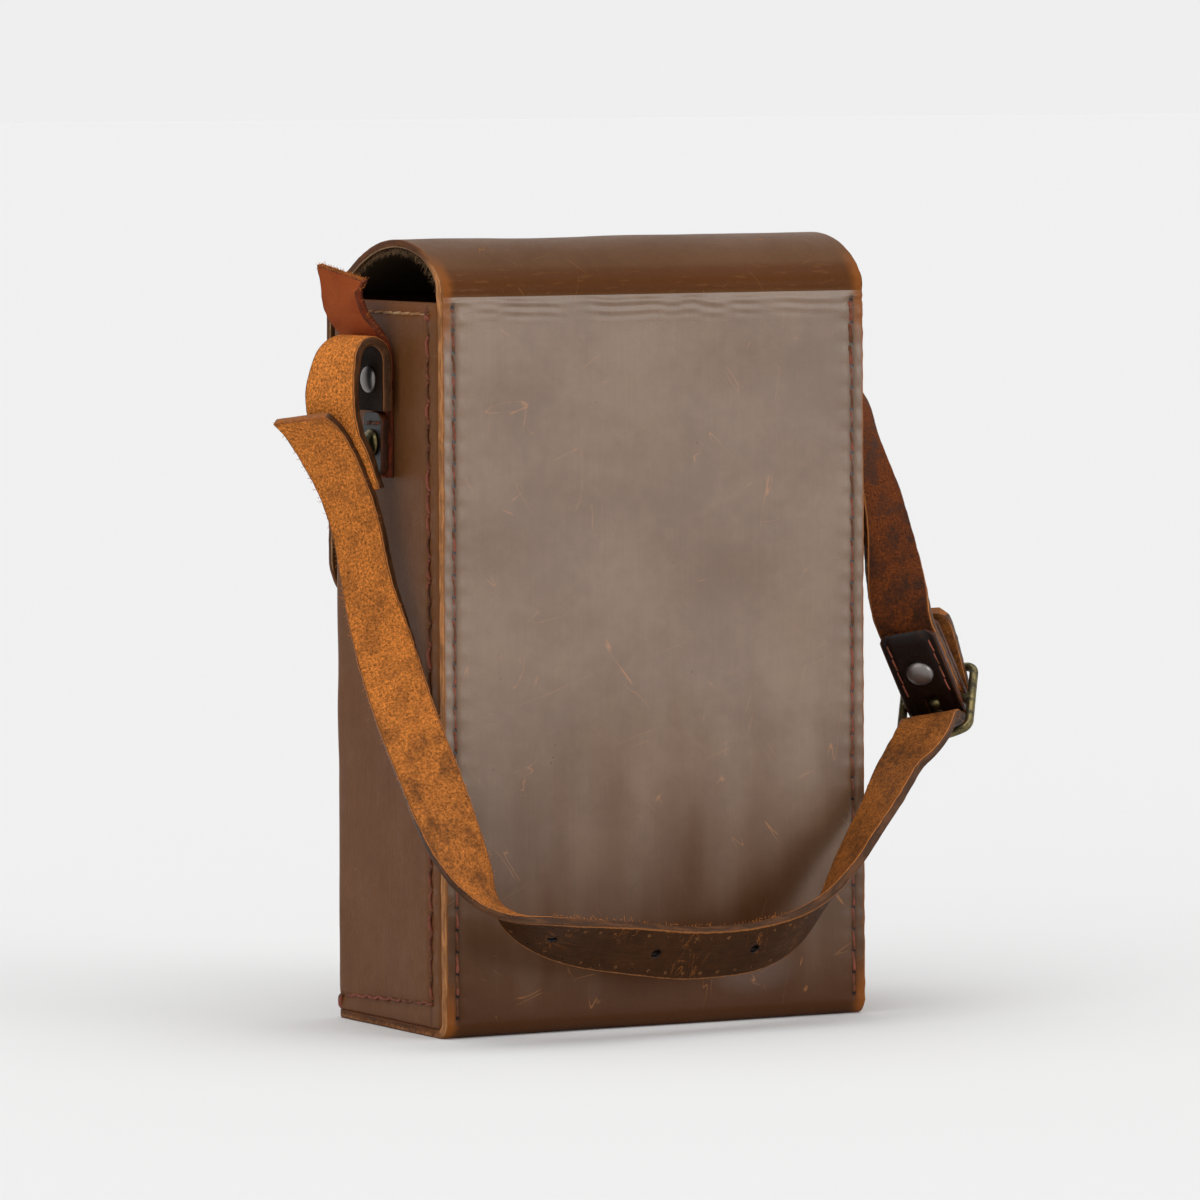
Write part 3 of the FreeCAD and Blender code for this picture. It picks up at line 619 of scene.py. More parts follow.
def row_group():
    """A row of holes beside an edge: dark holes, the groove that they lie in and bulges."""
    graph, source, result = effect_group(
        "Sewn Row", [("Across", "value", None), ("Along", "value", None), ("Row", "value", 50.0),
                     ("Pitch", "value", 5.28), ("Start", "value", 0.0), ("Hole", "value", 0.6)],
        [("Holes", "value"), ("Groove", "value"), ("Bulge", "value")])
    off = graph.math("SUBTRACT", graph.math("ABSOLUTE", source["Across"]), source["Row"])
    turn = graph.math("DIVIDE", graph.math("SUBTRACT", source["Along"], source["Start"]),
                      source["Pitch"])
    near = graph.math("MULTIPLY", graph.math("SUBTRACT", turn, graph.math("ROUND", turn)),
                      source["Pitch"])
    away = graph.vector("LENGTH", graph.join(off, near))
    inner = graph.math("MULTIPLY", source["Hole"], 0.5)
    graph.put(result["Holes"], graph.band(away, source["Hole"], inner))
    groove = graph.band(graph.math("ABSOLUTE", off), 0.95, 0.25)
    graph.put(result["Groove"], groove)
    wide = graph.band(graph.math("ABSOLUTE", off), 2.2, 0.8)
    graph.put(result["Bulge"], graph.math("MULTIPLY", wide, graph.band(
        graph.math("ABSOLUTE", near), 0.8, 2.4)))
    return graph.tree


def nap_group():
    """Short nap of suede: fine fibres, clumps and rubbed places."""
    graph, source, result = effect_group(
        "Suede Nap", [("Place", "vector", None), ("Size", "value", 1.0)],
        [("Height", "value"), ("Fibres", "value"), ("Rubbed", "value")])
    place = graph.vector("DIVIDE", source["Place"], graph.join(
        source["Size"], source["Size"], source["Size"]))
    fibres = graph.noise(place, 0.22, 4, 0.7, 1.2)
    clumps = graph.noise(place, 1.1, 3, 0.6, 0.8)
    height = graph.math("MULTIPLY_ADD", clumps, 0.6, fibres)
    graph.put(result["Height"], height)
    graph.put(result["Fibres"], graph.band(fibres, 0.35, 0.68))
    graph.put(result["Rubbed"], graph.band(graph.noise(place, 8.0, 4, 0.6, 0.6), 0.46, 0.62))
    return graph.tree


EFFECTS = {"grain": grain_group, "mottle": mottle_group, "scratches": scratch_group,
           "row": row_group, "nap": nap_group}


def effect(name):
    label = EFFECTS[name].__doc__
    for tree in bpy.data.node_groups:
        if tree.get("effect") == label:
            return tree
    tree = EFFECTS[name]()
    tree["effect"] = label
    return tree


def new_finish(name):
    """A material with its graph, its shader and the place on the sheet in millimetres."""
    material = bpy.data.materials.new(name)
    material.use_nodes = True
    graph = Graph(material.node_tree)
    shader = material.node_tree.nodes["Principled BSDF"]
    return material, graph, shader


def sheet_place(graph):
    place = graph.vector("SCALE", graph.add("ShaderNodeUVMap", uv_map="Leather").outputs[0],
                         scale=100.0)
    across, along, none = graph.split(place)
    return place, across, along


def object_place(graph):
    source = graph.add("ShaderNodeTexCoord").outputs["Object"]
    return graph.vector("SCALE", source, scale=1000.0)


def finish_surface(graph, shader, base, roughness, height, depth, specular=0.5):
    """Joins colour, roughness and a height in millimetres to the shader."""
    graph.put(shader.inputs["Base Color"], base)
    graph.put(shader.inputs["Roughness"], roughness)
    shader.inputs["Specular IOR Level"].default_value = specular
    bump = graph.add("ShaderNodeBump", {"Height": height})
    bump.inputs["Distance"].default_value = depth * MM
    bump.inputs["Strength"].default_value = 1.0
    graph.put(shader.inputs["Normal"], bump.outputs[0])


def shade(value, factor):
    return tuple(min(1.0, channel * factor) for channel in value)


def body_finish(name="body_grain"):
    """Worn grain of the base and the back, or that of the lid and the flap."""
    material, graph, shader = new_finish(name)
    on_lid = name == "lid_grain"
    set_of = colours()
    place, across, along = sheet_place(graph)
    mottle = graph.group(effect("mottle"), {"Place": place, "Large": 34.0, "Small": 4.0,
                                            "Share": 0.3})["Tone"]
    grain = graph.group(effect("grain"), {"Place": place, "Size": 0.8})
    marks = graph.group(effect("scratches"), {"Place": place, "Amount": 0.8})
    half = millimetres(sizes().width) / 2
    row = graph.group(effect("row"), {
        "Across": across, "Along": along, "Row": half - 3.2,
        "Pitch": millimetres(sizes().pitch), "Start": -2.5, "Hole": 0.62})
    on_back = graph.math("MULTIPLY", graph.band(along, -174.0, -171.0),
                         graph.band(along, -0.6, -1.6))
    holes = graph.math("MULTIPLY", row["Holes"], on_back)
    groove = graph.math("MULTIPLY", row["Groove"], on_back)
    streaks = graph.noise(graph.stretched(place, 1.0, 0.03), 0.75, 3, 0.6)
    broad = graph.noise(graph.stretched(place, 1.0, 0.25), 16.0, 2, 0.5)
    wander = graph.math("MULTIPLY_ADD", broad, 60.0, -30.0)
    height = graph.math("ADD", along, wander)
    # Painted sheen: the upper back takes the greyish bloom colour and fades to the plain body
    # colour lower down the back.
    low = graph.band(height, -95.0, -168.0)
    base = graph.mix(low, set_of.lid if on_lid else set_of.bloom_and_sheen,
                     set_of.lid if on_lid else set_of.body)
    warm = graph.band(mottle, 0.62, 0.36)
    base = graph.mix(graph.math("MULTIPLY", warm, 0.3), base, set_of.body)
    hem = graph.band(graph.math("ADD", along, graph.math("MULTIPLY", wander, 0.3)), -158.0, -173.0)
    base = graph.mix(graph.math("MULTIPLY", hem, 0.75), base, shade(set_of.rubbed, 0.26))
    band = graph.math("MULTIPLY", graph.band(along, -0.4, 1.2), graph.band(along, 9.0, 6.0))
    base = graph.mix(graph.math("MULTIPLY", band, 0.9), base, shade(set_of.rubbed, 0.36))
    tone = graph.math("ADD", graph.math("MULTIPLY", streaks, 0.26),
                      graph.math("MULTIPLY", mottle, 0.55))
    base = graph.mix(1.0, base, graph.range(tone, 0.2, 0.6, 0.84, 1.14), "MULTIPLY")
    thin_band = graph.noise(graph.stretched(place, 0.2, 1.0), 1.1, 2, 0.5)
    lines = graph.math("MULTIPLY", graph.band(thin_band, 0.60, 0.66), band)
    pale = graph.math("ADD", marks["Scratches"], graph.math("MULTIPLY", lines, 0.14), clamp=True)
    base = graph.mix(graph.math("MULTIPLY", pale, 0.55), base, shade(set_of.raw_edge, 0.8))
    side = graph.math("ABSOLUTE", across)
    ragged = graph.noise(place, 1.7, 4, 0.65)
    edge = graph.math("SUBTRACT", side, graph.math("MULTIPLY", ragged, 2.2))
    rim = graph.band(edge, half - 2.15, half - 1.15)
    crease = graph.band(graph.math("ABSOLUTE", along), 16.0, 4.0)
    corner = graph.band(along, -160.0, -172.0)
    wide = graph.band(edge, half - 5.2, half - 2.4)
    strong = graph.math("ADD", crease, corner, clamp=True)
    rubbed = graph.math("ADD", graph.math("MULTIPLY", rim, 0.75),
                        graph.math("MULTIPLY", wide, strong), clamp=True)
    base = graph.mix(graph.math("MULTIPLY", rubbed, 0.85), base, set_of.rubbed)
    # Painted shade: the groove of the stitch rows and the stitch holes are darkened.
    base = graph.mix(graph.math("MULTIPLY", groove, 0.6), base, shade(set_of.body, 0.35))
    base = graph.mix(graph.math("MULTIPLY", holes, 0.95), base, shade(set_of.dark, 0.5))
    base = graph.mix(graph.math("MULTIPLY", marks["Pits"], 0.7), base, shade(set_of.body, 0.3))
    gloss = graph.range(mottle, 0.35, 0.65, 0.46, 0.36)
    gloss = graph.math("ADD", gloss, graph.math("MULTIPLY", marks["Scratches"], 0.2))
    if not on_lid:
        patch = graph.vector("LENGTH", graph.join(
            graph.math("DIVIDE", graph.math("ADD", across, 26.0), 17.0),
            graph.math("DIVIDE", graph.math("ADD", along, 163.0), 9.0)))
        patch = graph.math("MULTIPLY", graph.band(patch, 1.1, 0.3), 0.45)
        polish = graph.math("MAXIMUM", graph.range(height, -95.0, -160.0, 1.0, 0.1), patch)
        worn = graph.math("SUBTRACT", 1.0, graph.math("MULTIPLY", rubbed, 0.7))
        graph.put(shader.inputs["Coat Weight"], graph.math("MULTIPLY", polish, worn))
        shader.inputs["Coat Roughness"].default_value = 0.38
    wrinkle = graph.noise(graph.stretched(place, 0.25, 1.6), 1.5, 3, 0.6, 0.3)
    near = graph.math("MULTIPLY", graph.band(along, -9.0, -2.0), graph.band(along, 4.0, 0.5))
    relief = graph.math("MULTIPLY_ADD", graph.math("MULTIPLY", wrinkle, near), 1.8,
                        grain["Height"])
    relief = graph.math("SUBTRACT", relief, graph.math("MULTIPLY", holes, 2.0))
    relief = graph.math("MULTIPLY_ADD", streaks, 0.3, relief)
    relief = graph.math("SUBTRACT", relief, graph.math("MULTIPLY", marks["Scratches"], 0.4))
    finish_surface(graph, shader, base, gloss, relief, 0.07, 0.07)
    return material


def edge_finish(name, base_colour, dark_colour, layers=0.55, gloss=0.6, rims=None):
    """Cut edge of leather in thin layers, pale and frayed in places.

    rims are the half width of the sheet, how deep the edge is, and the colours of the
    thin rims beside the outer and the inner face.
    """
    material, graph, shader = new_finish(name)
    place, across, along = sheet_place(graph)
    layer = graph.noise(graph.stretched(place, 1.0, 0.06), layers, 4, 0.6, 0.3)
    nap = graph.group(effect("nap"), {"Place": place, "Size": 0.8})
    base = graph.mix(graph.band(layer, 0.42, 0.60), dark_colour, base_colour)
    base = graph.mix(graph.math("MULTIPLY", nap["Rubbed"], 0.45), base, shade(dark_colour, 0.9))
    base = graph.mix(graph.math("MULTIPLY", nap["Fibres"], 0.4), base, shade(base_colour, 1.35))
    if rims:
        half, depth, outer, inner = rims
        wander = graph.math("MULTIPLY_ADD", graph.noise(place, 1.2, 3, 0.6), 0.6, -0.3)
        down = graph.math("ADD", graph.math("SUBTRACT", graph.math("ABSOLUTE", across), half),
                          wander)
        base = graph.mix(graph.math("MULTIPLY", graph.band(down, 0.45, 0.15), 0.8), base, outer)
        base = graph.mix(graph.math("MULTIPLY", graph.band(down, depth - 0.7, depth - 0.35),
                                    0.85), base, inner)
    finish_surface(graph, shader, base, gloss, graph.math("ADD", layer, nap["Height"]), 0.12,
                   0.2)
    return material


def body_edge_finish():
    """Cut edge of the body leather: pale on the back, darker on the lid and the base."""
    material, graph, shader = new_finish("body_edge")
    set_of = colours()
    place, across, along = sheet_place(graph)
    layer = graph.noise(graph.stretched(place, 1.0, 0.06), 0.55, 4, 0.6, 0.3)
    nap = graph.group(effect("nap"), {"Place": place, "Size": 1.2})
    half, wall = millimetres(sizes().width) / 2, millimetres(sizes().wall)
    wander = graph.math("MULTIPLY_ADD", graph.noise(place, 1.2, 3, 0.6), 0.7, -0.35)
    down = graph.math("ADD", graph.math("SUBTRACT", graph.math("ABSOLUTE", across), half), wander)
    base = graph.mix(graph.band(layer, 0.40, 0.58), shade(set_of.raw_edge, 0.55), set_of.raw_edge)
    brown = graph.mix(graph.band(layer, 0.44, 0.62), shade(set_of.rubbed, 0.32),
                      shade(set_of.rubbed, 0.62))
    on_lid = graph.band(along, 5.0, 20.0)
    on_base = graph.band(along, -174.5, -181.0)
    base = graph.mix(graph.math("ADD", on_lid, on_base, clamp=True), base, brown)
    inner = graph.band(down, wall - 0.95, wall - 0.6)
    fringe = graph.math("MULTIPLY", inner, graph.band(along, -2.0, 2.0))
    base = graph.mix(graph.math("MULTIPLY", fringe, 0.85), base, shade(set_of.thread_tan, 0.8))
    lines = graph.band(graph.math("ABSOLUTE", graph.math("SUBTRACT", down, 0.9)), 0.22, 0.08)
    lines = graph.math("MULTIPLY", graph.math("MULTIPLY", lines, on_base),
                       graph.band(nap["Fibres"], 0.3, 0.7))
    base = graph.mix(graph.math("MULTIPLY", lines, 0.8), base, set_of.raw_edge)
    base = graph.mix(graph.math("MULTIPLY", graph.band(down, 0.3, 0.0), 0.6), base,
                     shade(set_of.rubbed, 0.6))
    base = graph.mix(graph.math("MULTIPLY", nap["Rubbed"], 0.35), base, shade(
        set_of.rubbed, 0.4))
    finish_surface(graph, shader, base, 0.6, graph.math("ADD", layer, nap["Height"]), 0.14, 0.15)
    return material


def flesh_finish():
    """Inner side of the body leather."""
    material, graph, shader = new_finish("body_flesh")
    place, across, along = sheet_place(graph)
    nap = graph.group(effect("nap"), {"Place": place, "Size": 1.0})
    base = graph.mix(nap["Fibres"], shade(colours().body, 0.7), colours().body)
    finish_surface(graph, shader, base, 0.8, nap["Height"], 0.1, 0.1)
    return material


def panel_finish():
    """Smooth brown grain of the end panels."""
    material, graph, shader = new_finish("panel_grain")
    set_of = colours()
    place, across, along = sheet_place(graph)
    mottle = graph.group(effect("mottle"), {"Place": place, "Large": 22.0, "Small": 3.0,
                                            "Share": 0.4})["Tone"]
    grain = graph.group(effect("grain"), {"Place": place, "Size": 0.7})
    marks = graph.group(effect("scratches"), {"Place": place, "Amount": 0.8})
    reach = band_length() / 2
    row = graph.group(effect("row"), {
        "Across": across, "Along": along, "Row": reach - 5.2,
        "Pitch": millimetres(sizes().pitch), "Start": 8.8, "Hole": 0.55})
    holes = graph.math("MULTIPLY", row["Holes"], graph.band(along, 5.5, 7.0))
    streaks = graph.noise(graph.stretched(place, 1.0, 0.04), 0.9, 3, 0.6)
    tone = graph.math("ADD", graph.math("MULTIPLY", streaks, 0.3),
                      graph.math("MULTIPLY", mottle, 0.6))
    base = graph.mix(1.0, set_of.side, graph.range(tone, 0.3, 0.62, 0.82, 1.18), "MULTIPLY")
    # Painted sheen: greyish patches in the bloom colour, a few more higher up.
    greyed = graph.band(graph.math("ADD", mottle, graph.range(
        along, 20.0, 150.0, 0.0, 0.1)), 0.5, 0.72)
    base = graph.mix(graph.math("MULTIPLY", greyed, 0.15), base, shade(set_of.bloom_and_sheen, 0.8))
    base = graph.mix(graph.math("MULTIPLY", marks["Scratches"], 0.5), base, shade(
        set_of.raw_edge, 0.6))
    ragged = graph.math("MULTIPLY", graph.noise(place, 1.4, 4, 0.65), 1.6)
    edge = graph.math("SUBTRACT", graph.math("ABSOLUTE", across), ragged)
    rim = graph.math("MAXIMUM", graph.band(edge, reach - 1.6, reach - 0.6), graph.band(
        graph.math("ADD", along, ragged), 171.6, 172.6))
    base = graph.mix(graph.math("MULTIPLY", rim, 0.55), base, shade(set_of.rubbed, 0.8))
    # Painted shade: the groove of the stitch row and the stitch holes are darkened.
    base = graph.mix(graph.math("MULTIPLY", row["Groove"], 0.5), base, shade(set_of.side, 0.4))
    base = graph.mix(graph.math("MULTIPLY", holes, 0.95), base, shade(set_of.dark, 0.5))
    base = graph.mix(graph.math("MULTIPLY", marks["Pits"], 0.6), base, shade(set_of.side, 0.35))
    gloss = graph.range(mottle, 0.35, 0.65, 0.40, 0.30)
    relief = graph.math("SUBTRACT", grain["Height"], graph.math("MULTIPLY", holes, 2.0))
    finish_surface(graph, shader, base, gloss, relief, 0.05, 0.06)
    return material


def strap_grain_finish():
    """Dark grain side of the long strap, with two rows of pricked holes."""
    material, graph, shader = new_finish("strap_grain")
    set_of = colours()
    place, across, along = sheet_place(graph)
    half = millimetres(sizes().strap_width) / 2
    mottle = graph.group(effect("mottle"), {"Place": place, "Large": 14.0, "Small": 2.0,
                                            "Share": 0.45})["Tone"]
    grain = graph.group(effect("grain"), {"Place": place, "Size": 0.6})
    marks = graph.group(effect("scratches"), {"Place": place, "Amount": 1.0})
    pricks = graph.group(effect("row"), {
        "Across": across, "Along": along, "Row": half - 2.1, "Pitch": 4.7, "Hole": 0.5})
    strands = graph.noise(graph.stretched(place, 1.0, 0.08), 0.7, 3, 0.6, 0.2)
    tone = graph.math("ADD", graph.math("MULTIPLY", strands, 0.4),
                      graph.math("MULTIPLY", mottle, 0.6))
    base = graph.mix(1.0, set_of.strap_grain, graph.range(tone, 0.32, 0.64, 0.6, 1.5),
                     "MULTIPLY")
    tan = graph.band(mottle, 0.60, 0.72)
    base = graph.mix(graph.math("MULTIPLY", tan, 0.55), base, shade(set_of.strap_flesh, 0.5))
    crack = graph.noise(graph.stretched(place, 0.35, 1.0), 5.0, 4, 0.7, 0.8)
    crack = graph.band(graph.math("ABSOLUTE", graph.math("SUBTRACT", crack, 0.5)), 0.012, 0.003)
    few = graph.band(graph.noise(place, 12.0, 2), 0.56, 0.62)
    crack = graph.math("MULTIPLY", crack, few)
    pale = graph.math("ADD", graph.math("MULTIPLY", marks["Scratches"], 0.5), crack, clamp=True)
    ragged = graph.math("MULTIPLY", graph.noise(place, 0.9, 4, 0.7), 0.9)
    edge = graph.math("SUBTRACT", graph.math("ABSOLUTE", across), ragged)
    rim = graph.band(edge, half - 1.15, half - 0.65)
    base = graph.mix(graph.math("MULTIPLY", pale, 0.45), base, shade(set_of.strap_flesh, 0.6))
    base = graph.mix(graph.math("MULTIPLY", rim, 0.75), base, shade(set_of.raw_edge, 0.95))
    speckle = graph.band(graph.noise(place, 1.9, 1), 0.42, 0.56)
    prick = graph.math("MULTIPLY", pricks["Holes"], speckle)
    base = graph.mix(graph.math("MULTIPLY", prick, 0.8), base, shade(set_of.raw_edge, 0.9))
    # Painted shade: the cores of the pricked holes are darkened.
    core = graph.band(pricks["Holes"], 0.85, 0.98)
    base = graph.mix(graph.math("MULTIPLY", core, 0.8), base, shade(set_of.dark, 0.6))
    gloss = graph.range(tone, 0.35, 0.6, 0.46, 0.30)
    relief = graph.math("SUBTRACT", grain["Height"], graph.math("MULTIPLY", pricks["Holes"], 1.8))
    relief = graph.math("SUBTRACT", relief, graph.math("MULTIPLY", crack, 1.2))
    relief = graph.math("MULTIPLY_ADD", strands, 0.6, relief)
    finish_surface(graph, shader, base, gloss, relief, 0.07, 0.06)
    return material


def strap_flesh_finish(name, base_colour, dark_colour, dark_from, dark_to, blotch=0.5):
    """Napped flesh side of a strap, darker and greasy over a stretch of its length."""
    material, graph, shader = new_finish(name)
    place, across, along = sheet_place(graph)
    nap = graph.group(effect("nap"), {"Place": place, "Size": 0.9})
    mottle = graph.group(effect("mottle"), {"Place": place, "Large": 9.0, "Small": 1.6,
                                            "Share": 0.5})["Tone"]
    grit = graph.noise(place, 0.62, 3, 0.75, 0.6)
    tone = graph.math("MULTIPLY", graph.range(grit, 0.36, 0.64, 0.42, 1.6),
                      graph.range(mottle, 0.3, 0.7, 0.86, 1.12))
    base = graph.mix(1.0, base_colour, tone, "MULTIPLY")
    pits = graph.band(graph.cells(place, 1.3), 0.2, 0.08)
    base = graph.mix(graph.math("MULTIPLY", pits, 0.5), base, shade(base_colour, 0.25))
    # Darker stretches along the strap, partly grease and partly painted shade: on the long strap
    # down its left end and from the middle of the swag onwards.
    worn = graph.math("MULTIPLY", graph.band(along, dark_from, dark_to), 0.62)
    worn = graph.math("MAXIMUM", worn, graph.math("MULTIPLY", graph.band(
        along, dark_to + 72.0, dark_to + 96.0), 0.9))
    patches = graph.math("ADD", worn, graph.math("MULTIPLY", nap["Rubbed"], blotch), clamp=True)
    patches = graph.math("MULTIPLY", patches, graph.range(mottle, 0.3, 0.6, 1.0, 0.45))
    base = graph.mix(patches, base, dark_colour)
    gloss = graph.range(patches, 0.0, 1.0, 0.86, 0.5)
    relief = graph.math("MULTIPLY_ADD", grit, 1.4, nap["Height"])
    finish_surface(graph, shader, base, gloss, relief, 0.2, 0.12)
    return material


def dark_finish():
    """Polished dark leather of the chape and the lugs."""
    material, graph, shader = new_finish("dark_leather")
    place, across, along = sheet_place(graph)
    grain = graph.group(effect("grain"), {"Place": place, "Size": 0.6})
    mottle = graph.group(effect("mottle"), {"Place": place, "Large": 8.0, "Small": 1.5,
                                            "Share": 0.4})["Tone"]
    base = graph.mix(graph.band(mottle, 0.55, 0.75), colours().dark, shade(colours().body, 0.45))
    base = graph.mix(graph.math("MULTIPLY", grain["Creases"], 0.3), base, shade(
        colours().dark, 0.5))
    finish_surface(graph, shader, base, graph.range(mottle, 0.35, 0.65, 0.24, 0.4),
                   grain["Height"], 0.05, 0.2)
    return material


def nap_finish(name, base_colour, pale_colour, depth=0.2):
    """Dark or rough napped surface, by the place on the object."""
    material, graph, shader = new_finish(name)
    place = object_place(graph)
    nap = graph.group(effect("nap"), {"Place": place, "Size": 1.0})
    base = graph.mix(graph.math("MULTIPLY", nap["Fibres"], 0.5), base_colour, pale_colour)
    base = graph.mix(graph.math("MULTIPLY", nap["Rubbed"], 0.4), base, shade(base_colour, 0.7))
    finish_surface(graph, shader, base, 0.92, nap["Height"], depth, 0.1)
    return material


def thread_finish(name, base_colour, stain):
    """Twisted waxed thread, darker where it is dirty."""
    material, graph, shader = new_finish(name)
    place = object_place(graph)
    twist = graph.add("ShaderNodeTexWave", {
        "Vector": place, "Scale": 1.3, "Distortion": 1.5, "Detail": 1.0},
        bands_direction="DIAGONAL").outputs["Fac"]
    dirt = graph.noise(place, 5.0, 4, 0.65)
    base = graph.mix(graph.band(dirt, 0.42, 0.60), base_colour, stain)
    # Painted shade: the grooves of the twist are darkened.
    base = graph.mix(graph.math("MULTIPLY", graph.band(twist, 0.4, 0.1), 0.5), base, shade(
        base_colour, 0.4))
    finish_surface(graph, shader, base, 0.5, twist, 0.12, 0.2)
    return material


def metal_finish(name, base_colour, tarnish, gloss, bright=1.0, specular=0.5):
    """Aged metal with tarnish in patches and fine wear."""
    material, graph, shader = new_finish(name)
    place = object_place(graph)
    patches = graph.noise(place, 2.6, 5, 0.65, 0.5)
    fine = graph.noise(place, 0.5, 4, 0.7)
    mask = graph.band(graph.math("MULTIPLY_ADD", fine, 0.35, patches), 0.58, 0.80)
    base = graph.mix(mask, base_colour, tarnish)
    rough_at = graph.range(mask, 0.0, 1.0, gloss, gloss + 0.28)
    graph.put(shader.inputs["Metallic"], graph.range(mask, 0.0, 1.0, bright, 0.55 * bright))
    finish_surface(graph, shader, base, rough_at, fine, 0.02, specular)
    return material


MAKERS = {
    "body_grain": body_finish,
    "body_flesh": flesh_finish,
    "panel_grain": panel_finish,
    "strap_grain": strap_grain_finish,
    "dark_leather": dark_finish,
    "lid_grain": lambda: body_finish("lid_grain"),
    "body_edge": lambda: body_edge_finish(),
    "panel_edge": lambda: edge_finish(
        "panel_edge", shade(colours().rubbed, 0.8), shade(colours().side, 0.6)),
    "strap_edge": lambda: edge_finish(
        "strap_edge", shade(colours().side, 0.7), shade(colours().strap_grain, 0.8), 0.5, 0.5,
        (millimetres(sizes().strap_width) / 2, millimetres(sizes().strap_thick),
         shade(colours().strap_flesh, 0.55), colours().strap_flesh)),
    "red_edge": lambda: edge_finish(
        "red_edge", shade(colours().red, 0.6), shade(colours().strap_grain, 0.8), 0.5, 0.7),
    "dark_edge": lambda: edge_finish(
        "dark_edge", shade(colours().short_flesh, 0.7), colours().dark, 0.9, 0.35),
    "strap_flesh": lambda: strap_flesh_finish(
        "strap_flesh", colours().strap_flesh, shade(colours().side, 0.5), 48.0, 128.0),
    # The loop's flesh is a brighter copy of the strap flesh, partly painted light.
    "loop_flesh": lambda: strap_flesh_finish(
        "loop_flesh", shade(colours().strap_flesh, 1.2), shade(colours().side, 0.8),
        900.0, 910.0, 0.3),
    "loop_inside": lambda: strap_flesh_finish(
        "loop_inside", shade(colours().side, 0.14), shade(colours().side, 0.08), 900.0, 910.0),
    "short_flesh": lambda: strap_flesh_finish(
        "short_flesh", colours().short_flesh, shade(colours().strap_grain, 0.3),
        38.0, 100.0, 0.8),
    "red_split": lambda: nap_finish(
        "red_split", colours().red, shade(colours().strap_flesh, 0.9), 0.35),
    "lining": lambda: nap_finish("lining", colours().lining, shade(colours().bloom_and_sheen, 0.35)),
    "fibre_pale": lambda: nap_finish("fibre_pale", colours().bloom_and_sheen, colours().thread_tan, 0.02),
    "fibre_orange": lambda: nap_finish(
        "fibre_orange", colours().strap_flesh, colours().raw_edge, 0.02),
    "thread_red": lambda: thread_finish(
        "thread_red", colours().thread_red, shade(colours().side, 0.8)),
    "thread_tan": lambda: thread_finish(
        "thread_tan", colours().thread_tan, shade(colours().raw_edge, 0.7)),
    "brass": lambda: metal_finish("brass", colours().brass, shade(colours().brass, 0.22), 0.28),
    "gunmetal": lambda: metal_finish(
        "gunmetal", colours().gunmetal, shade(colours().gunmetal, 0.35), 0.3, 0.5, 0.15),
}


def finish(name):
    """The finish of that name, made when it is first asked for."""
    made = bpy.data.materials.get(name)
    return made if made else MAKERS[name]()


# ---- Lines and routes of the case, in millimetres ----------------------------------

LID_LINE = [(-29.5, 176.65), (-29.2, 179.0), (-27.1, 182.2), (-22.3, 186.0), (-14.5, 189.0),
            (-5.0, 190.0), (5.5, 188.6), (16.0, 184.6), (24.5, 179.9), (28.6, 177.2),
            (31.2, 174.2), (32.1, 171.2)]
BAND_CORNER = 3.2
FRONT_TOP = 169.5
PANEL_TOP = 175.2
LINING_TOP = 168.0
HANGER_Y = -0.7
LOOP_TOP = 165.0
LOOP_RADIUS = 4.35
LEFT_BACKING = 59.7
RIGHT_BACKING = 57.5
LEFT_CROWN = LEFT_BACKING + 1.2 + LOOP_RADIUS
RIGHT_CROWN = RIGHT_BACKING + 1.2 + LOOP_RADIUS
UPPER_RIVET = 156.5
LOWER_RIVET = 141.3
LUG_TOP = 148.6
LUG_HEIGHT = 15.0
SNAP_HEIGHT = 112.0

BUCKLE = np.array([81.3, -24.0, 74.8])
BAR = np.array([0.657, -0.732, 0.176])
BAR /= np.linalg.norm(BAR)
DOWN = np.array([0.522, 0.276, -0.806])
DOWN -= BAR * np.dot(DOWN, BAR)
DOWN /= np.linalg.norm(DOWN)
BACK = np.cross(BAR, DOWN)

LONG_ROUTE = [
    ((-79.6, 1.0, 147.4), (-0.50, 0.86, -0.12)), ((-76.3, 0.6, 144.0), (-0.56, 0.82, -0.12)),
    ((-73.6, 0.0, 139.8), (-0.58, 0.80, -0.13)), ((-70.6, -1.0, 133.6), (-0.52, 0.84, -0.13)),
    ((-67.4, -3.0, 123.6), (-0.47, 0.88, -0.09)), ((-66.4, -7.5, 109.0), (-0.46, 0.88, -0.09)),
    ((-66.3, -16.5, 92.7), (-0.70, 0.71, -0.06)), ((-66.6, -28.0, 76.9), (-0.86, 0.50, -0.06)),
    ((-65.1, -39.0, 61.0), (-0.93, 0.36, -0.05)), ((-62.6, -46.0, 47.4), (-1.00, -0.04, 0.00)),
    ((-56.0, -49.5, 35.4), (-0.80, -0.56, 0.20)), ((-42.2, -50.0, 26.8), (-0.38, -0.74, 0.56)),
    ((-29.0, -49.0, 23.2), (-0.28, -0.62, 0.73)), ((-16.2, -48.0, 21.3), (-0.25, -0.55, 0.80)),
    ((-2.9, -47.0, 19.5), (-0.26, -0.52, 0.82)), ((10.5, -46.0, 19.2), (-0.31, -0.53, 0.79)),
    ((23.2, -45.5, 21.0), (-0.33, -0.60, 0.73)), ((32.6, -45.5, 25.8), (-0.38, -0.80, 0.47)),
    ((39.6, -44.6, 32.0), (-0.32, -0.93, 0.18)), ((45.6, -42.8, 38.9), (-0.21, -0.98, 0.00)),
    ((51.6, -40.8, 46.2), (-0.12, -0.99, -0.03)), ((58.6, -38.2, 54.3), (0.02, -1.00, -0.03)),
    ((65.6, -34.6, 62.0), (0.28, -0.95, 0.05)),
]
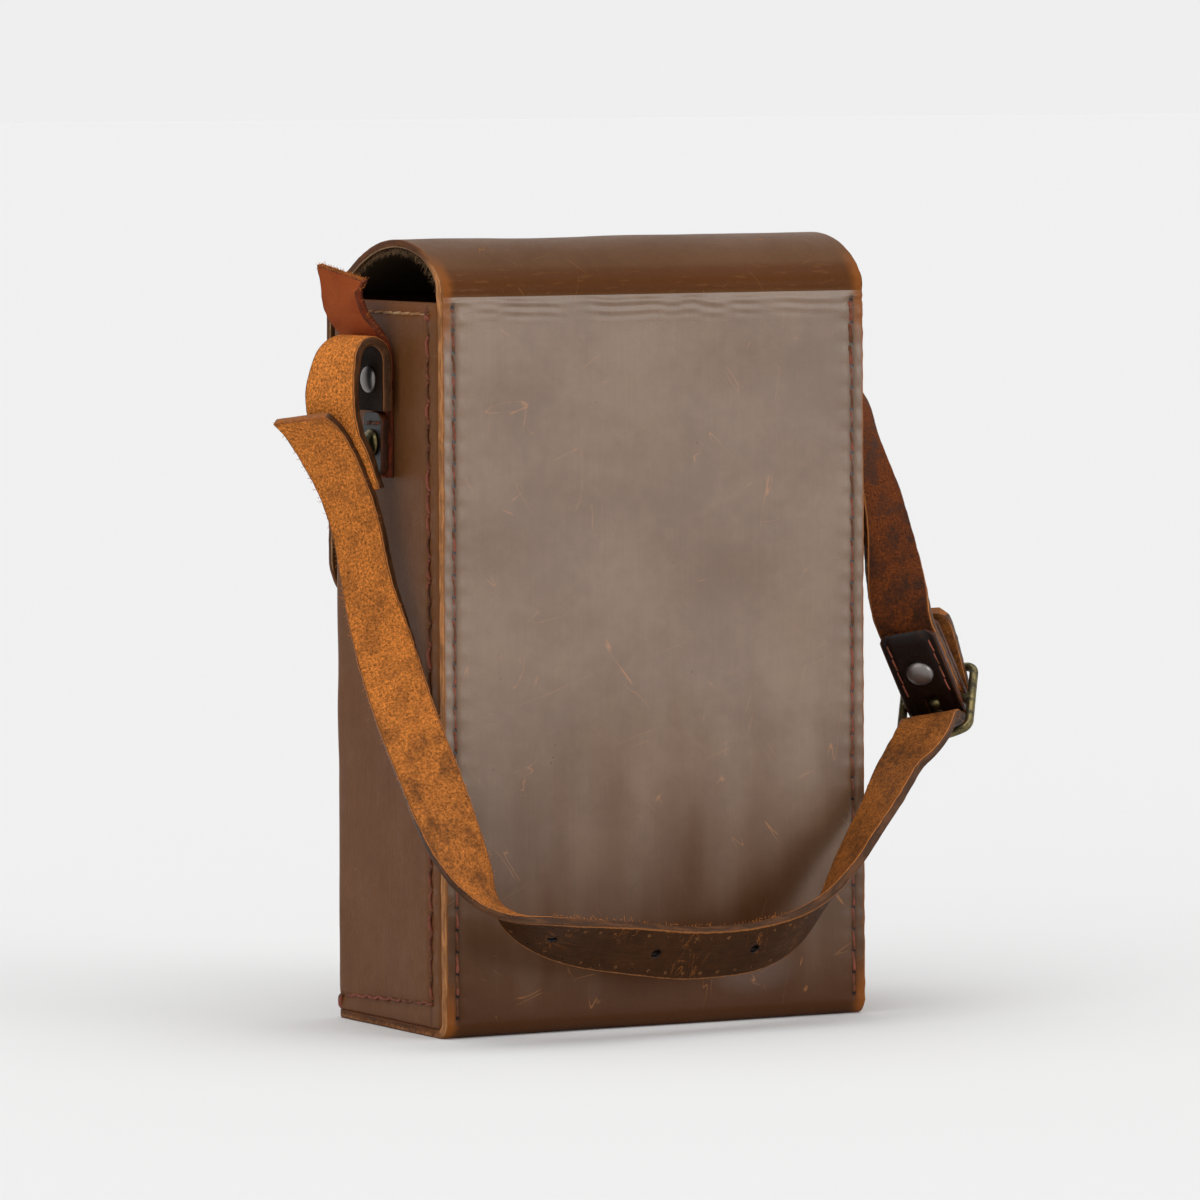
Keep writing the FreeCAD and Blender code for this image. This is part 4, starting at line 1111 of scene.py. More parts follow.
BUCKLE_ROUTE = [(-0.1, -2.6, -13.6), (0.0, -2.0, -9.2), (0.0, 1.2, -5.6), (0.0, 4.5, -3.0),
                (0.0, 5.2, 0.6), (0.0, 3.5, 3.8), (0.0, -0.2, 5.7), (0.0, -5.0, 7.2),
                (0.5, -10.0, 7.6), (1.2, -16.0, 7.1), (2.0, -23.0, 6.7)]
HOLE_PLACES = (11.2, 13.4, 15.5)
PRONG_ROUTE = [(1.9, 0.3), (4.6, 1.3), (7.0, 2.5), (7.9, 5.1), (6.7, 8.1), (3.6, 10.0),
               (-0.1, 10.7)]


def buckle_point(along, down, back):
    return BUCKLE + BAR * along + DOWN * down + BACK * back


def loop_points(side, crown, start, end, count):
    """Places on the bend at the top of a hanger, from the angle start to end in degrees."""
    places = []
    for step in range(count):
        angle = math.radians(start + (end - start) * step / (count - 1))
        places.append((side * (crown + LOOP_RADIUS * math.cos(angle)), HANGER_Y,
                       LOOP_TOP - LOOP_RADIUS + LOOP_RADIUS * math.sin(angle)))
    return places


def lid_curve():
    points = np.array(LID_LINE)
    marks = chord_places(points)
    return natural_curve(marks, points), marks[-1]


def shell_outline():
    """Outer line of the back sheet: base, back wall, dome and flap. Also the crease's index."""
    depth = millimetres(sizes().depth) / 2
    bend = millimetres(sizes().bend)
    crease = millimetres(sizes().crease)
    points = [(y, 0.0) for y in np.linspace(depth, -depth + bend, 44)]
    for angle in np.radians(np.linspace(-90, -180, 10)[1:]):
        points.append((-depth + bend + bend * math.cos(angle), bend + bend * math.sin(angle)))
    points += [(-depth, z) for z in np.linspace(bend, crease - 7, 96)[1:]]
    points += [(-depth, z) for z in np.linspace(crease - 7, crease, 21)[1:]]
    crease_index = len(points) - 1
    curve, end = lid_curve()
    places = np.concatenate([np.linspace(0.25, 6, 16), np.linspace(6, end, 56)[1:]])
    points += [tuple(point) for point in curve(places)]
    front = LID_LINE[-1][0]
    corner = millimetres(sizes().flap_corner)
    flap_end = millimetres(sizes().flap_end)
    points += [(front, z) for z in np.linspace(LID_LINE[-1][1], flap_end + corner, 28)[1:]]
    for angle in np.radians(np.linspace(0, 90, 16)[1:]):
        points.append((front, flap_end + corner * (1 - math.sin(angle))))
    return points, crease_index


def shell_frames():
    points, crease_index = shell_outline()
    start = -chord_places(np.array(points))[crease_index]
    half = millimetres(sizes().width) / 2
    corner = millimetres(sizes().flap_corner)
    flap_end = millimetres(sizes().flap_end)
    halves = []
    for y, z in points:
        below = flap_end + corner - z
        cut = 0.0
        if y > 20 and below > 0 and z > 50:
            cut = corner - math.sqrt(max(0.0, corner ** 2 - below ** 2))
        toe = y - millimetres(sizes().depth) / 2 + BAND_CORNER
        if z < 1 and toe > 0:
            cut = BAND_CORNER - math.sqrt(max(0.0, BAND_CORNER ** 2 - toe ** 2))
        halves.append(half - cut)
    return profile_frames(points, (-1, 0, 0), np.array(halves), start)


def row_dents(side, along, row, pitch, start, low, high):
    """Leather pulled in along a sewn row, with small swells between the stitches."""
    turn = (along - start) / pitch
    near = (turn - np.round(turn)) * pitch
    inside = ((along > low) & (along < high)).astype(float)
    dent = hump(side, row, 0.8) * (0.2 + 0.42 * hump(near, 0, 0.9))
    swell = (hump(side, row + 1.7, 1.0) + 0.6 * hump(side, row - 1.8, 1.2)) \
        * 0.2 * np.cos(2 * math.pi * near / pitch)
    return inside * (-dent - swell)


def shell_relief(across, along):
    half = millimetres(sizes().width) / 2
    pitch = millimetres(sizes().pitch)
    side = np.abs(across)
    rise = row_dents(side, along, half - 3.2, pitch, -2.5, -173.5, -1.5)
    rise += rough(across, along, 42.0, 1) * 0.45
    rise += rough(across, along, 11.0, 2) * 0.05
    shift = rough(across, along * 0.3, 7.0, 3) * 1.6
    wave = np.sin((along + shift) * 2 * math.pi / 2.3)
    near = hump(along, -2.2, 3.0)
    patches = np.clip(0.5 + rough(across, along * 0, 9.0, 4) * 1.3, 0, 1)
    rise += wave * near * 0.11 * patches
    rise -= hump(along, 0.2, 0.9) * 0.22
    rise += hump(along, 3.2, 1.8) * 0.12
    corner = np.clip((side - half + 4) / 4, 0, 1) ** 2
    rise += corner * hump(along, 1.5, 5.0) * 0.5
    return rise


def ragged_edge(seed, depth, scale=2.2):
    def push(across, along):
        return rough(across * 3.1, along, scale, seed, 3) * depth
    return push


BODY_FINE = (0.0, 0.35, 0.8, 1.3, 1.8, 2.3, 2.8, 3.2, 3.7, 4.3, 5.0, 6.0)


def make_shell():
    frames = shell_frames()
    half = millimetres(sizes().width) / 2
    wall, lid_wall = millimetres(sizes().wall), millimetres(sizes().lid_wall)
    thick = wall + (lid_wall - wall) * np.clip((frames.along + 3) / 6, 0, 1)

    def edge(across, along):
        flare = hump(along, 1.5, 4.0) * 0.45
        return ragged_edge(11, 0.16)(across, along) + np.sign(across) * flare

    made = leather_sheet("shell_leather", frames, thick, 0.0,
                         [finish("body_grain"), finish("body_edge"), finish("body_flesh")],
                         side_marks(half, BODY_FINE), 0.42, shell_relief, None, edge)
    made.data.materials.append(finish("lid_grain"))
    layer = made.data.uv_layers["Leather"].data
    for face in made.data.polygons:
        if face.material_index == 0 and layer[face.loop_start].uv[1] > -0.001:
            face.material_index = 3
    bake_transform(made)
    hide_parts("wrap", "lid")


def band_plan():
    """Plan of the strip that makes the ends and the front, its ways out and its heights."""
    half = millimetres(sizes().width) / 2
    depth = millimetres(sizes().depth) / 2
    back = millimetres(sizes().wall) - depth
    low = millimetres(sizes().wall)
    turn_x, turn_y = half - BAND_CORNER, depth - BAND_CORNER
    steps = [0.0, 0.4, 0.9, 1.5, 2.2, 3.0, 3.8, 4.5, 5.2, 5.9, 6.8, 8.0]
    end = [(-half, back + step) for step in steps]
    end += [(-half, y) for y in np.linspace(back + 8, turn_y, 26)[1:]]
    ways = [(-1.0, 0.0)] * len(end)
    for angle in np.radians(np.linspace(180, 90, 10)[1:]):
        way = (math.cos(angle), math.sin(angle))
        end.append((-turn_x + BAND_CORNER * way[0], turn_y + BAND_CORNER * way[1]))
        ways.append(way)
    front = [(x, depth) for x in np.linspace(-turn_x, turn_x, 50)[1:-1]]
    plan = end + front + [(-x, y) for x, y in reversed(end)]
    ways = ways + [(0.0, 1.0)] * len(front) + [(-x, y) for x, y in reversed(ways)]
    heel = millimetres(sizes().bend) - low
    heights = []
    for x, y in plan:
        off = max(0.0, heel - (y - back))
        lift = heel - math.sqrt(max(0.0, heel ** 2 - off ** 2))
        share = min(1.0, max(0.0, (y - depth + 2.2) / 0.8))
        heights.append((low + lift, PANEL_TOP + (FRONT_TOP - PANEL_TOP) * share))
    return np.array(plan), np.array(ways), np.array(heights)


def band_length():
    plan = band_plan()[0]
    return chord_places(plan)[-1]


def make_band():
    """The strip of leather that turns both front corners, with its hems and seams."""
    plan, ways, heights = band_plan()
    along = chord_places(plan)
    middle = heights.mean(axis=1)
    places = np.column_stack([plan, middle])
    out = np.column_stack([ways, np.zeros(len(ways))])
    across = np.broadcast_to(np.array([0.0, 0.0, -1.0]), places.shape)
    frames = Frames(places, across, out, along, (heights[:, 1] - heights[:, 0]) / 2)
    row = along[-1] / 2 - 5.2

    def relief(drop, run):
        height = np.interp(run, along, middle) - drop
        side = np.abs(run - along[-1] / 2)
        rise = row_dents(side, height, row, millimetres(sizes().pitch), 8.8, 7.5, 171)
        rise += rough(run, height, 26.0, 6) * 0.3 + rough(run, height, 7.0, 7) * 0.04
        share = np.clip(1 - (along[-1] / 2 - side) / 56, 0, 1)
        rise -= hump(height, 5.4 + 2.0 * share, 0.8) * 0.25
        rise += hump(height, 3.4, 0.8) * 0.12
        rise -= hump(height, 172.4, 0.6) * 0.12
        rise += hump(height, 174.2, 0.7) * 0.1
        rise -= 0.5 * np.clip((side - along[-1] / 2 + 1.4) / 1.4, 0, 1) ** 2
        return rise

    made = leather_sheet("band_leather", frames, millimetres(sizes().wall), 0.0,
                         [finish("panel_grain"), finish("panel_edge"), finish("body_flesh")],
                         np.linspace(-1, 1, 140), 0.55, relief)
    layer = made.data.uv_layers["Leather"].data
    for loop in made.data.loops:
        run = layer[loop.index].uv[1] - along[-1] / 200
        layer[loop.index].uv = (run, made.data.vertices[loop.vertex_index].co.z * 10)
    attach(made, "case")
    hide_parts("body_band")


def sheet_point(frames, relief, across, along, top=0.0):
    """Place on a sheet's outer face and the direction out of it."""
    index = int(np.argmin(np.abs(frames.along - along)))
    share = 0.0
    if 0 < index < len(frames.along) - 1:
        other = index + (1 if along > frames.along[index] else -1)
        share = (along - frames.along[index]) / (frames.along[other] - frames.along[index])
    else:
        other = index
    place = frames.places[index] * (1 - share) + frames.places[other] * share
    side = frames.across[index] * (1 - share) + frames.across[other] * share
    out = frames.out[index] * (1 - share) + frames.out[other] * share
    rise = float(relief(np.array([[across]]), np.array([[along]]))[0, 0]) if relief else 0.0
    return place + side * across + out * (top + rise), out


def make_body_sewing():
    frames = shell_frames()
    half = millimetres(sizes().width) / 2
    pitch = millimetres(sizes().pitch)
    rows = []
    for sign in (-1, 1):
        marks = [-2.5 - pitch * step for step in range(33)]
        rows.append([sheet_point(frames, shell_relief, sign * (half - 3.2), along)
                     for along in marks])
        if sign < 0:
            rows.append([sheet_point(frames, shell_relief, sign * (half - 3.2) + 0.55, along)
                         for along in marks[:4]])
    made = sewn_rows("back_stitches", rows, millimetres(sizes().thread), finish("thread_red"),
                     21, 0.22, 0.5, 0.16)
    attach(made, "case")


def make_end_sewing(side, name):
    """Seam beside the back edge, seam along the base with its knots, and the hem."""
    depth = millimetres(sizes().depth) / 2
    reach = depth - millimetres(sizes().wall)
    face = side * millimetres(sizes().width) / 2
    pitch = millimetres(sizes().pitch)
    out = (side, 0, 0)
    rows = [[((face - side * 0.22, 5.2 - reach, 8.8 + pitch * step), out)
             for step in range(31)]]
    low = []
    for step in range(16):
        y = 5.2 - reach + step * 3.07
        share = 1 - step / 15
        low.append(((face - side * 0.1, y, 5.7 + 2.0 * share + 0.55 * (step % 2)), out))
    rows.append([((face - side * 0.1, 26.4, 5.9), out), ((face - side * 0.3, 27.6, 2.4), out)])
    rows.append([((face - side * 0.1, 25.6, 6.4), out), ((face - side * 0.2, 26.9, 2.8), out)])
    rows.append([((face - side * 0.1, 24.6, 6.0), out), ((face - side * 0.6, 28.2, 5.2), out)])
    rows.append([((face - side * 0.1, 5.0 - reach, 171.2), out),
                 ((face - side * 0.1, 5.6 - reach, 173.6), out)])
    rows.append([((face - side * 0.1, 5.9 - reach, 171.0), out),
                 ((face - side * 0.1, 4.8 - reach, 173.2), out)])
    made = sewn_rows(name, rows, millimetres(sizes().thread) * 1.05, finish("thread_red"),
                     31 + side, 0.3, 0.5, 0.36)
    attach(made, "case")
    made = sewn_rows(name + "_base", [low], millimetres(sizes().thread) * 0.8,
                     finish("thread_red"), 35 + side, 0.1, 0.4, 0.22)
    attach(made, "case")
    hem = [[((face - side * 0.1, 4.5 - reach + 4.8 * step, 172.4), out) for step in range(10)]]
    made = sewn_rows(name + "_hem", hem, millimetres(sizes().thread) * 0.75,
                     finish("thread_tan"), 41 + side, 0.15, 0.4, 0.2)
    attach(made, "case")


# ---- Linings -----------------------------------------------------------------------

def make_linings():
    half = millimetres(sizes().width) / 2 - millimetres(sizes().wall)
    inner = millimetres(sizes().depth) / 2 - millimetres(sizes().wall) - 0.8
    floor = millimetres(sizes().wall) + 0.8
    points = [(inner, z) for z in np.linspace(LINING_TOP, floor + 1, 40)]
    for angle in np.radians(np.linspace(0, -90, 5)[1:]):
        points.append((inner - 1 + math.cos(angle), floor + 1 + math.sin(angle)))
    points += [(y, floor) for y in np.linspace(inner - 1, 1 - inner, 16)[1:]]
    for angle in np.radians(np.linspace(-90, -180, 5)[1:]):
        points.append((1 - inner + math.cos(angle), floor + 1 + math.sin(angle)))
    points += [(-inner, z) for z in np.linspace(floor + 1, LINING_TOP, 40)[1:]]
    cloth = [finish("lining")] * 3
    frames = profile_frames(points, (1, 0, 0), half)
    made = leather_sheet("body_lining_nap", frames, 0.75, 0.0, cloth,
                         side_marks(half, STRAP_FINE), 0.2,
                         lambda u, v: rough(u, v, 9.0, 61) * 0.12)
    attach(made, "case")
    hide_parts("body_lining")
    for side, name, node in ((-1, "end_lining_nap_left", "side_lining_left"),
                             (1, "end_lining_nap_right", "side_lining_right")):
        heights = np.linspace(floor, LINING_TOP, 44)
        places = [(side * (half - 0.8), 0, z) for z in heights]
        frames = Frames(places, [(0, side, 0)] * 44, [(-side, 0, 0)] * 44, heights,
                        inner - 0.05)
        made = leather_sheet(name, frames, 0.75, 0.0, cloth, side_marks(inner, STRAP_FINE), 0.2,
                             lambda u, v: rough(u, v, 9.0, 62) * 0.12)
        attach(made, "case")
        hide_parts(node)
    curve, end = lid_curve()
    places = np.linspace(2.4, end - 9.5, 50)
    outer = curve(places)
    ahead = unit_rows(np.gradient(outer, places, axis=0))
    inward = np.stack([ahead[:, 1], -ahead[:, 0]], axis=1)
    lid_half = half + 0.7
    frames = profile_frames(outer + inward * (millimetres(sizes().lid_wall) + 0.75), (1, 0, 0),
                            lid_half)
    made = leather_sheet("lid_lining_nap", frames, 0.7, 0.0, cloth,
                         side_marks(lid_half, STRAP_FINE), 0.2,
                         lambda u, v: rough(u, v, 7.0, 63) * 0.15, None,
                         ragged_edge(64, 0.25, 1.4))
    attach(made, "lid")
    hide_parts("lid_lining")


# ---- Anchors at the ends -----------------------------------------------------------

def strap_relief(seed, cup=0.12):
    def rise(across, along):
        half = millimetres(sizes().strap_width) / 2
        return rough(across, along, 6.0, seed) * 0.09 - cup * (across / half) ** 4
    return rise


def stump_frames():
    flat = millimetres(sizes().width) / 2 + 1.1
    stations = [((-flat, HANGER_Y, z), (0, 1, 0)) for z in (133.0, 141.8, 150.7, 159.5)]
    stations += [((x, y, z), (turn, 1, 0)) for x, y, z, turn in (
        (-59.2, 0.3, 163.0, -0.05), (-61.0, 2.2, 166.3, -0.15), (-63.5, 4.4, 169.6, -0.22),
        (-66.0, 5.0, 174.0, -0.2), (-66.5, 5.4, 178.0, -0.18), (-66.9, 4.4, 182.0, -0.4))]
    frames = ribbon_frames(stations, millimetres(sizes().strap_width), 0.9)
    height = frames.places[:, 2]
    frames.half = np.interp(height, [133, 157, 162, 166, 172, 180],
                            [3.6, 3.6, 4.8, 6.9, 7.2, 7.4])
    return frames


def make_stump():
    frames = stump_frames()
    coarse = [finish("red_split"), finish("red_edge"), finish("red_split")]
    made = leather_sheet("stump_leather", frames, 2.15, 1.07, coarse,
                         side_marks(7.25, STRAP_FINE), 0.5,
                         lambda u, v: rough(u, v, 3.0, 71, 3) * 0.16,
                         None, ragged_edge(72, 0.3, 1.5))
    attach(made, "case")
    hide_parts("stump_left")


def loop_stations():
    leg = -LEFT_BACKING - 1.2
    outer = -LEFT_CROWN - LOOP_RADIUS
    stations = [((leg, HANGER_Y, z), (0, 1, 0)) for z in (149.0, 152.8, 156.8)]
    bend = loop_points(-1, LEFT_CROWN, 180, 0, 11)
    for index, (x, y, z) in enumerate(bend):
        share = max(0.0, index / 10 - 0.4) / 0.6
        rise = 0.9 * math.sin(math.pi * index / 10)
        stations.append(((x - 1.2 * share ** 2, y, z + rise), (-0.34 * share, 1, 0)))
    stations += [((outer + x, HANGER_Y + y, z), (turn, 1, 0)) for x, y, z, turn in (
        (-2.3, 0.0, 156.0, -0.48), (-2.6, 0.0, 151.5, -0.54), (-2.0, 0.0, 147.0, -0.52),
        (-0.6, 0.0, 142.4, -0.50), (1.2, -0.4, 138.0, -0.50), (2.5, -1.0, 133.5, -0.50),
        (3.5, -1.8, 129.0, -0.52))]
    return stations


def make_left_loop():
    thick = millimetres(sizes().strap_thick)
    frames = ribbon_frames(loop_stations(), millimetres(sizes().strap_width), 0.7)
    made = leather_sheet("loop_leather_left", frames, thick, thick / 2,
                         [finish("loop_inside"), finish("strap_edge"), finish("loop_flesh")],
                         side_marks(7.25, STRAP_FINE), 0.45, strap_relief(73),
                         lambda u, v: rough(u, v, 2.4, 74, 3) * 0.1, ragged_edge(75, 0.15))
    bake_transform(made)
    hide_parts("hanger_left", "loop_leg_left")


def make_lug(side, backing, name, node):
    radius = 2.5
    bottom = LUG_TOP - LUG_HEIGHT
    angles = np.radians(np.linspace(0, 90, 7))
    heights = [bottom + radius * (1 - math.cos(angle)) for angle in angles]
    heights += list(np.linspace(bottom + radius, LUG_TOP - radius, 12)[1:-1])
    heights += [LUG_TOP - radius + radius * math.sin(angle) for angle in angles]
    heights = np.array(heights)
    below = np.maximum(bottom + radius - heights, heights - LUG_TOP + radius)
    cut = radius - np.sqrt(np.maximum(0.0, radius ** 2 - np.clip(below, 0, radius) ** 2))
    count = len(heights)
    frames = Frames([(side * backing, HANGER_Y, z) for z in heights], [(0, -side, 0)] * count,
                    [(side, 0, 0)] * count, heights, 5.2 - cut)

    def relief(across, along):
        return -0.25 * hump(along, LUG_TOP - 2.6, 0.5) + rough(across, along, 5.0, 76) * 0.06

    made = leather_sheet(name, frames, 2.0, 2.0,
                         [finish("dark_leather"), finish("dark_edge"), finish("dark_leather")],
                         side_marks(5.2, STRAP_FINE), 0.5, relief)
    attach(made, "case")
    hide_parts(node)
    out = (side, 0, 0)
    rows = [[((side * (backing + 1.9), HANGER_Y + y, LUG_TOP - 2.6), out)
             for y in (-3.6, 0.0, 3.6)]]
    made = sewn_rows(name + "_stitches", rows, millimetres(sizes().thread), finish("thread_red"),
                     77, 0.1, 0.4, 0.22)
    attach(made, "case")


def make_side_rivets(side, backing, name, node):
    inner = millimetres(sizes().width) / 2 - 2.2 - 0.8 - 1.0
    points, faces = [], []
    for height, face, part in ((UPPER_RIVET, backing + 2.4, "upper"),
                               (LOWER_RIVET, backing + 2.0, "lower")):
        piece = turned_solid(
            name + "_" + part, dome_outline(3.3, 0.4, 1.5, 1.25, face - inner),
            (side * face, HANGER_Y, height), (side, 0, 0),
            finish("gunmetal" if part == "upper" else "brass"))
        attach(piece, "case")
    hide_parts(node)


# ---- Straps ------------------------------------------------------------------------

def route_place(place):
    index = int(place)
    start, end = np.array(LONG_ROUTE[index][0]), np.array(LONG_ROUTE[index + 1][0])
    return start + (end - start) * (place - index)


def long_strap_frames():
    stations = list(LONG_ROUTE)
    for along, down, back in BUCKLE_ROUTE:
        stations.append((tuple(buckle_point(along, down, back)), tuple(BAR)))
    return ribbon_frames(stations, millimetres(sizes().strap_width), 1.1)


def make_long_strap():
    thick = millimetres(sizes().strap_thick)
    frames = long_strap_frames()
    total = frames.along[-1]
    ahead = unit_rows(np.gradient(frames.places, frames.along, axis=0))
    frames.across = frames.across - ahead * (0.36 * np.exp(-frames.along / 5.0))[:, None]
    taper = np.clip((frames.along - total + 4.0) / 4.0, 0, 1)
    frames.half -= 2.2 * taper ** 2

    def under(across, along):
        return rough(across, along, 2.6, 82, 3) * 0.13

    made = leather_sheet("long_strap_leather", frames, thick, thick / 2,
                         [finish("strap_grain"), finish("strap_edge"), finish("strap_flesh")],
                         side_marks(7.25, STRAP_FINE), 0.42, strap_relief(81, 0.1), under,
                         ragged_edge(83, 0.16))
    cutters = []
    for place in HOLE_PLACES:
        index = int(place)
        here = route_place(place)
        ahead = np.array(LONG_ROUTE[index + 1][0]) - np.array(LONG_ROUTE[index][0])
        out = np.cross(ahead, np.array(LONG_ROUTE[index][1]))
        out /= np.linalg.norm(out)
        cutters.append(round_cutter(here, out, 1.25, 3.5, finish("dark_leather")))
    cutters.append(round_cutter(buckle_point(0, 5.0, 1.3), DOWN + BACK * 0.3, 1.6, 4.2,
                                finish("strap_edge")))
    cut_away(made, cutters)
    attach(made, "strap")
    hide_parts("long_strap")


def short_strap_stations():
    leg = RIGHT_BACKING + 1.2
    outer = RIGHT_CROWN + LOOP_RADIUS
    stations = [((leg, HANGER_Y, z), (0, -1, 0)) for z in (149.0, 152.8, 156.8)]
    stations += [(place, (0, -1, 0)) for place in loop_points(1, RIGHT_CROWN, 180, 0, 11)]
    stations += [((outer + x, y, z), (-a, -b, -c)) for x, y, z, a, b, c in (
        (1.6, -5.0, 151.4, 0.55, 0.83, 0.05), (1.4, -9.4, 141.0, 0.76, 0.64, 0.10),
        (1.6, -15.5, 129.0, 0.88, 0.46, 0.12), (1.2, -22.3, 115.8, 0.93, 0.20, 0.12),
        (0.2, -27.6, 104.4, 0.95, -0.28, 0.12))]
    for down in (-25.6, -18.0, -11.0, -4.6):
        stations.append((tuple(buckle_point(0, down, 0)), tuple(-BAR)))
    return stations


def make_short_strap():
    thick = millimetres(sizes().strap_thick)
    frames = ribbon_frames(short_strap_stations(), millimetres(sizes().strap_width), 0.9)
    made = leather_sheet("short_strap_leather", frames, thick, thick / 2,
                         [finish("short_flesh"), finish("strap_edge"), finish("short_flesh")],
                         side_marks(7.25, STRAP_FINE), 0.45, strap_relief(84),
                         lambda u, v: rough(u, v, 2.6, 85, 3) * 0.08, ragged_edge(86, 0.14))
    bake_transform(made)
    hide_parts("hanger_right", "short_strap")


# ---- Buckle ------------------------------------------------------------------------

CHAPE_MIDDLE = 2.3
CHAPE_LENGTH = 24.0


def chape_frames():
    places = [(down, CHAPE_MIDDLE) for down in np.linspace(-CHAPE_LENGTH, 0, 26)]
    for angle in np.radians(np.linspace(90, -90, 19)[1:]):
        places.append((CHAPE_MIDDLE * math.cos(angle), CHAPE_MIDDLE * math.sin(angle)))
    places += [(down, -CHAPE_MIDDLE) for down in np.linspace(0, -CHAPE_LENGTH, 26)[1:]]
    points = np.array([buckle_point(0, down, back) for down, back in places])
    along = chord_places(points)
    ahead = unit_rows(np.gradient(points, along, axis=0))
    side = np.broadcast_to(-BAR, points.shape)
    half = np.full(len(points), millimetres(sizes().strap_width) / 2)
    ends = np.minimum(along, along[-1] - along)
    half -= 2.0 * np.clip(1 - ends / 2.2, 0, 1) ** 2
    return Frames(points, side, np.cross(ahead, side), along, half)


def make_chape():
    frames = chape_frames()
    total = frames.along[-1]

    def relief(across, along):
        end = np.minimum(along, total - along)
        rise = -0.9 * np.clip(1 - end / 3.0, 0, 1) ** 2
        rise -= 0.22 * hump(np.abs(across), 5.4, 0.5)
        return rise + rough(across, along, 5.0, 91) * 0.08 - 0.25 * (across / 7.25) ** 6

    made = leather_sheet("chape_leather", frames, 1.95, 0.98,
                         [finish("dark_leather"), finish("dark_edge"), finish("strap_flesh")],
                         side_marks(7.25, (0.0, 0.3, 0.8, 1.3, 1.85, 2.5, 3.2)), 0.55, relief)
    corners = [buckle_point(a, d, b) for a in (-1.7, 1.7) for d in (-4.0, 6.0)
               for b in (-5.0, 5.0)]
    sides = [(0, 1, 3, 2), (4, 6, 7, 5), (0, 4, 5, 1), (2, 3, 7, 6), (0, 2, 6, 4), (1, 5, 7, 3)]
    cutter = add_object("cutter", corners, sides, [finish("dark_edge")], None, None, range(6))
    cut_away(made, [cutter])
    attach(made, "strap")
    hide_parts("buckle_chape")
    rows = []
    for sign in (-1, 1):
        for face in (-1, 1):
            rows.append([(buckle_point(sign * 5.4, -21.5 + 4.1 * step, face * 3.1), BACK * face)
                         for step in range(5)])
    made = sewn_rows("chape_stitches", rows, millimetres(sizes().thread) * 0.5,
                     finish("thread_red"), 92, 0.12, 0.4, 0.1)
    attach(made, "strap")


def make_chape_rivet():
    outer = 3.3
    head = turned_solid("chape_rivet_head", dome_outline(3.4, 0.4, 1.5, 1.25, 2 * outer),
                        buckle_point(0, -12.0, outer), tuple(BACK), finish("gunmetal"))
    tail = turned_solid("chape_rivet_tail", dome_outline(3.4, 0.4, 1.5),
                        buckle_point(0, -12.0, -outer), tuple(-BACK), finish("gunmetal"))
    for piece in (head, tail):
        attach(piece, "strap")
    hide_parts("chape_rivet")


def make_prong():
    points, faces = [], []
    route = np.array(PRONG_ROUTE)
    marks = chord_places(route)
    curve = natural_curve(marks, route)
    places = np.linspace(0, marks[-1], 44)
    centres = [buckle_point(0, down, back) for down, back in curve(places)]
    radii = np.interp(places, [0, 3, marks[-1] - 1.2, marks[-1] - 0.3, marks[-1]],
                      [0.95, 0.85, 0.85, 0.66, 0.3])
    tube_points(centres, radii, 14, points, faces)
    first = len(points)
    turn = Vector((0, 0, 1)).rotation_difference(Vector(BAR)).to_matrix()
    ring = [(1.32, -1.2), (1.5, -1.32), (2.05, -1.32), (2.22, -1.1), (2.22, 1.1), (2.05, 1.32),
            (1.5, 1.32), (1.32, 1.2)]
    for radius, height in ring:
        for index in range(36):
            angle = 2 * math.pi * index / 36
            local = Vector((radius * math.cos(angle), radius * math.sin(angle), height))
            points.append(np.array(Vector(BUCKLE) + turn @ local))
    for row in range(len(ring)):
        for index in range(36):
            after = (index + 1) % 36
            low, high = first + row * 36, first + (row + 1) % len(ring) * 36
            faces.append((low + index, low + after, high + after, high + index))
    made = add_object("prong_pin", points, faces, [finish("brass")])
    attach(made, "prong")
    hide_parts("buckle_prong")


def dress(node, name):
    """Gives a node of the frame its finish."""
    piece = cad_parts[node]
    piece.data.materials.clear()
    piece.data.materials.append(finish(name))


def make_snap():
    forward = (0, 1, 0)
    face = LID_LINE[-1][0]
    cap = turned_solid("snap_cap_dome", dome_outline(6.2, 0.6, 1.3), (0, face, SNAP_HEIGHT),
                       forward, finish("brass"), 56)
    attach(cap, "lid")
    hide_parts("snap_cap")


# ---- Stray fibres ------------------------------------------------------------------

def edge_roots(frames, sign, top, count, seed, low=0.0, high=1.0):
    chance = random.Random(seed)
    roots = []
    for _ in range(count):
        share = chance.uniform(low, high)
        index = int(share * (len(frames.along) - 1))
        place = frames.places[index] + frames.across[index] * sign * frames.half[index] * 0.99 \
            + frames.out[index] * (top - chance.uniform(0.0, 0.5))
        way = frames.across[index] * sign * 0.7 + frames.out[index] * chance.uniform(-0.4, 1.0)
        roots.append((place, way))
    return roots


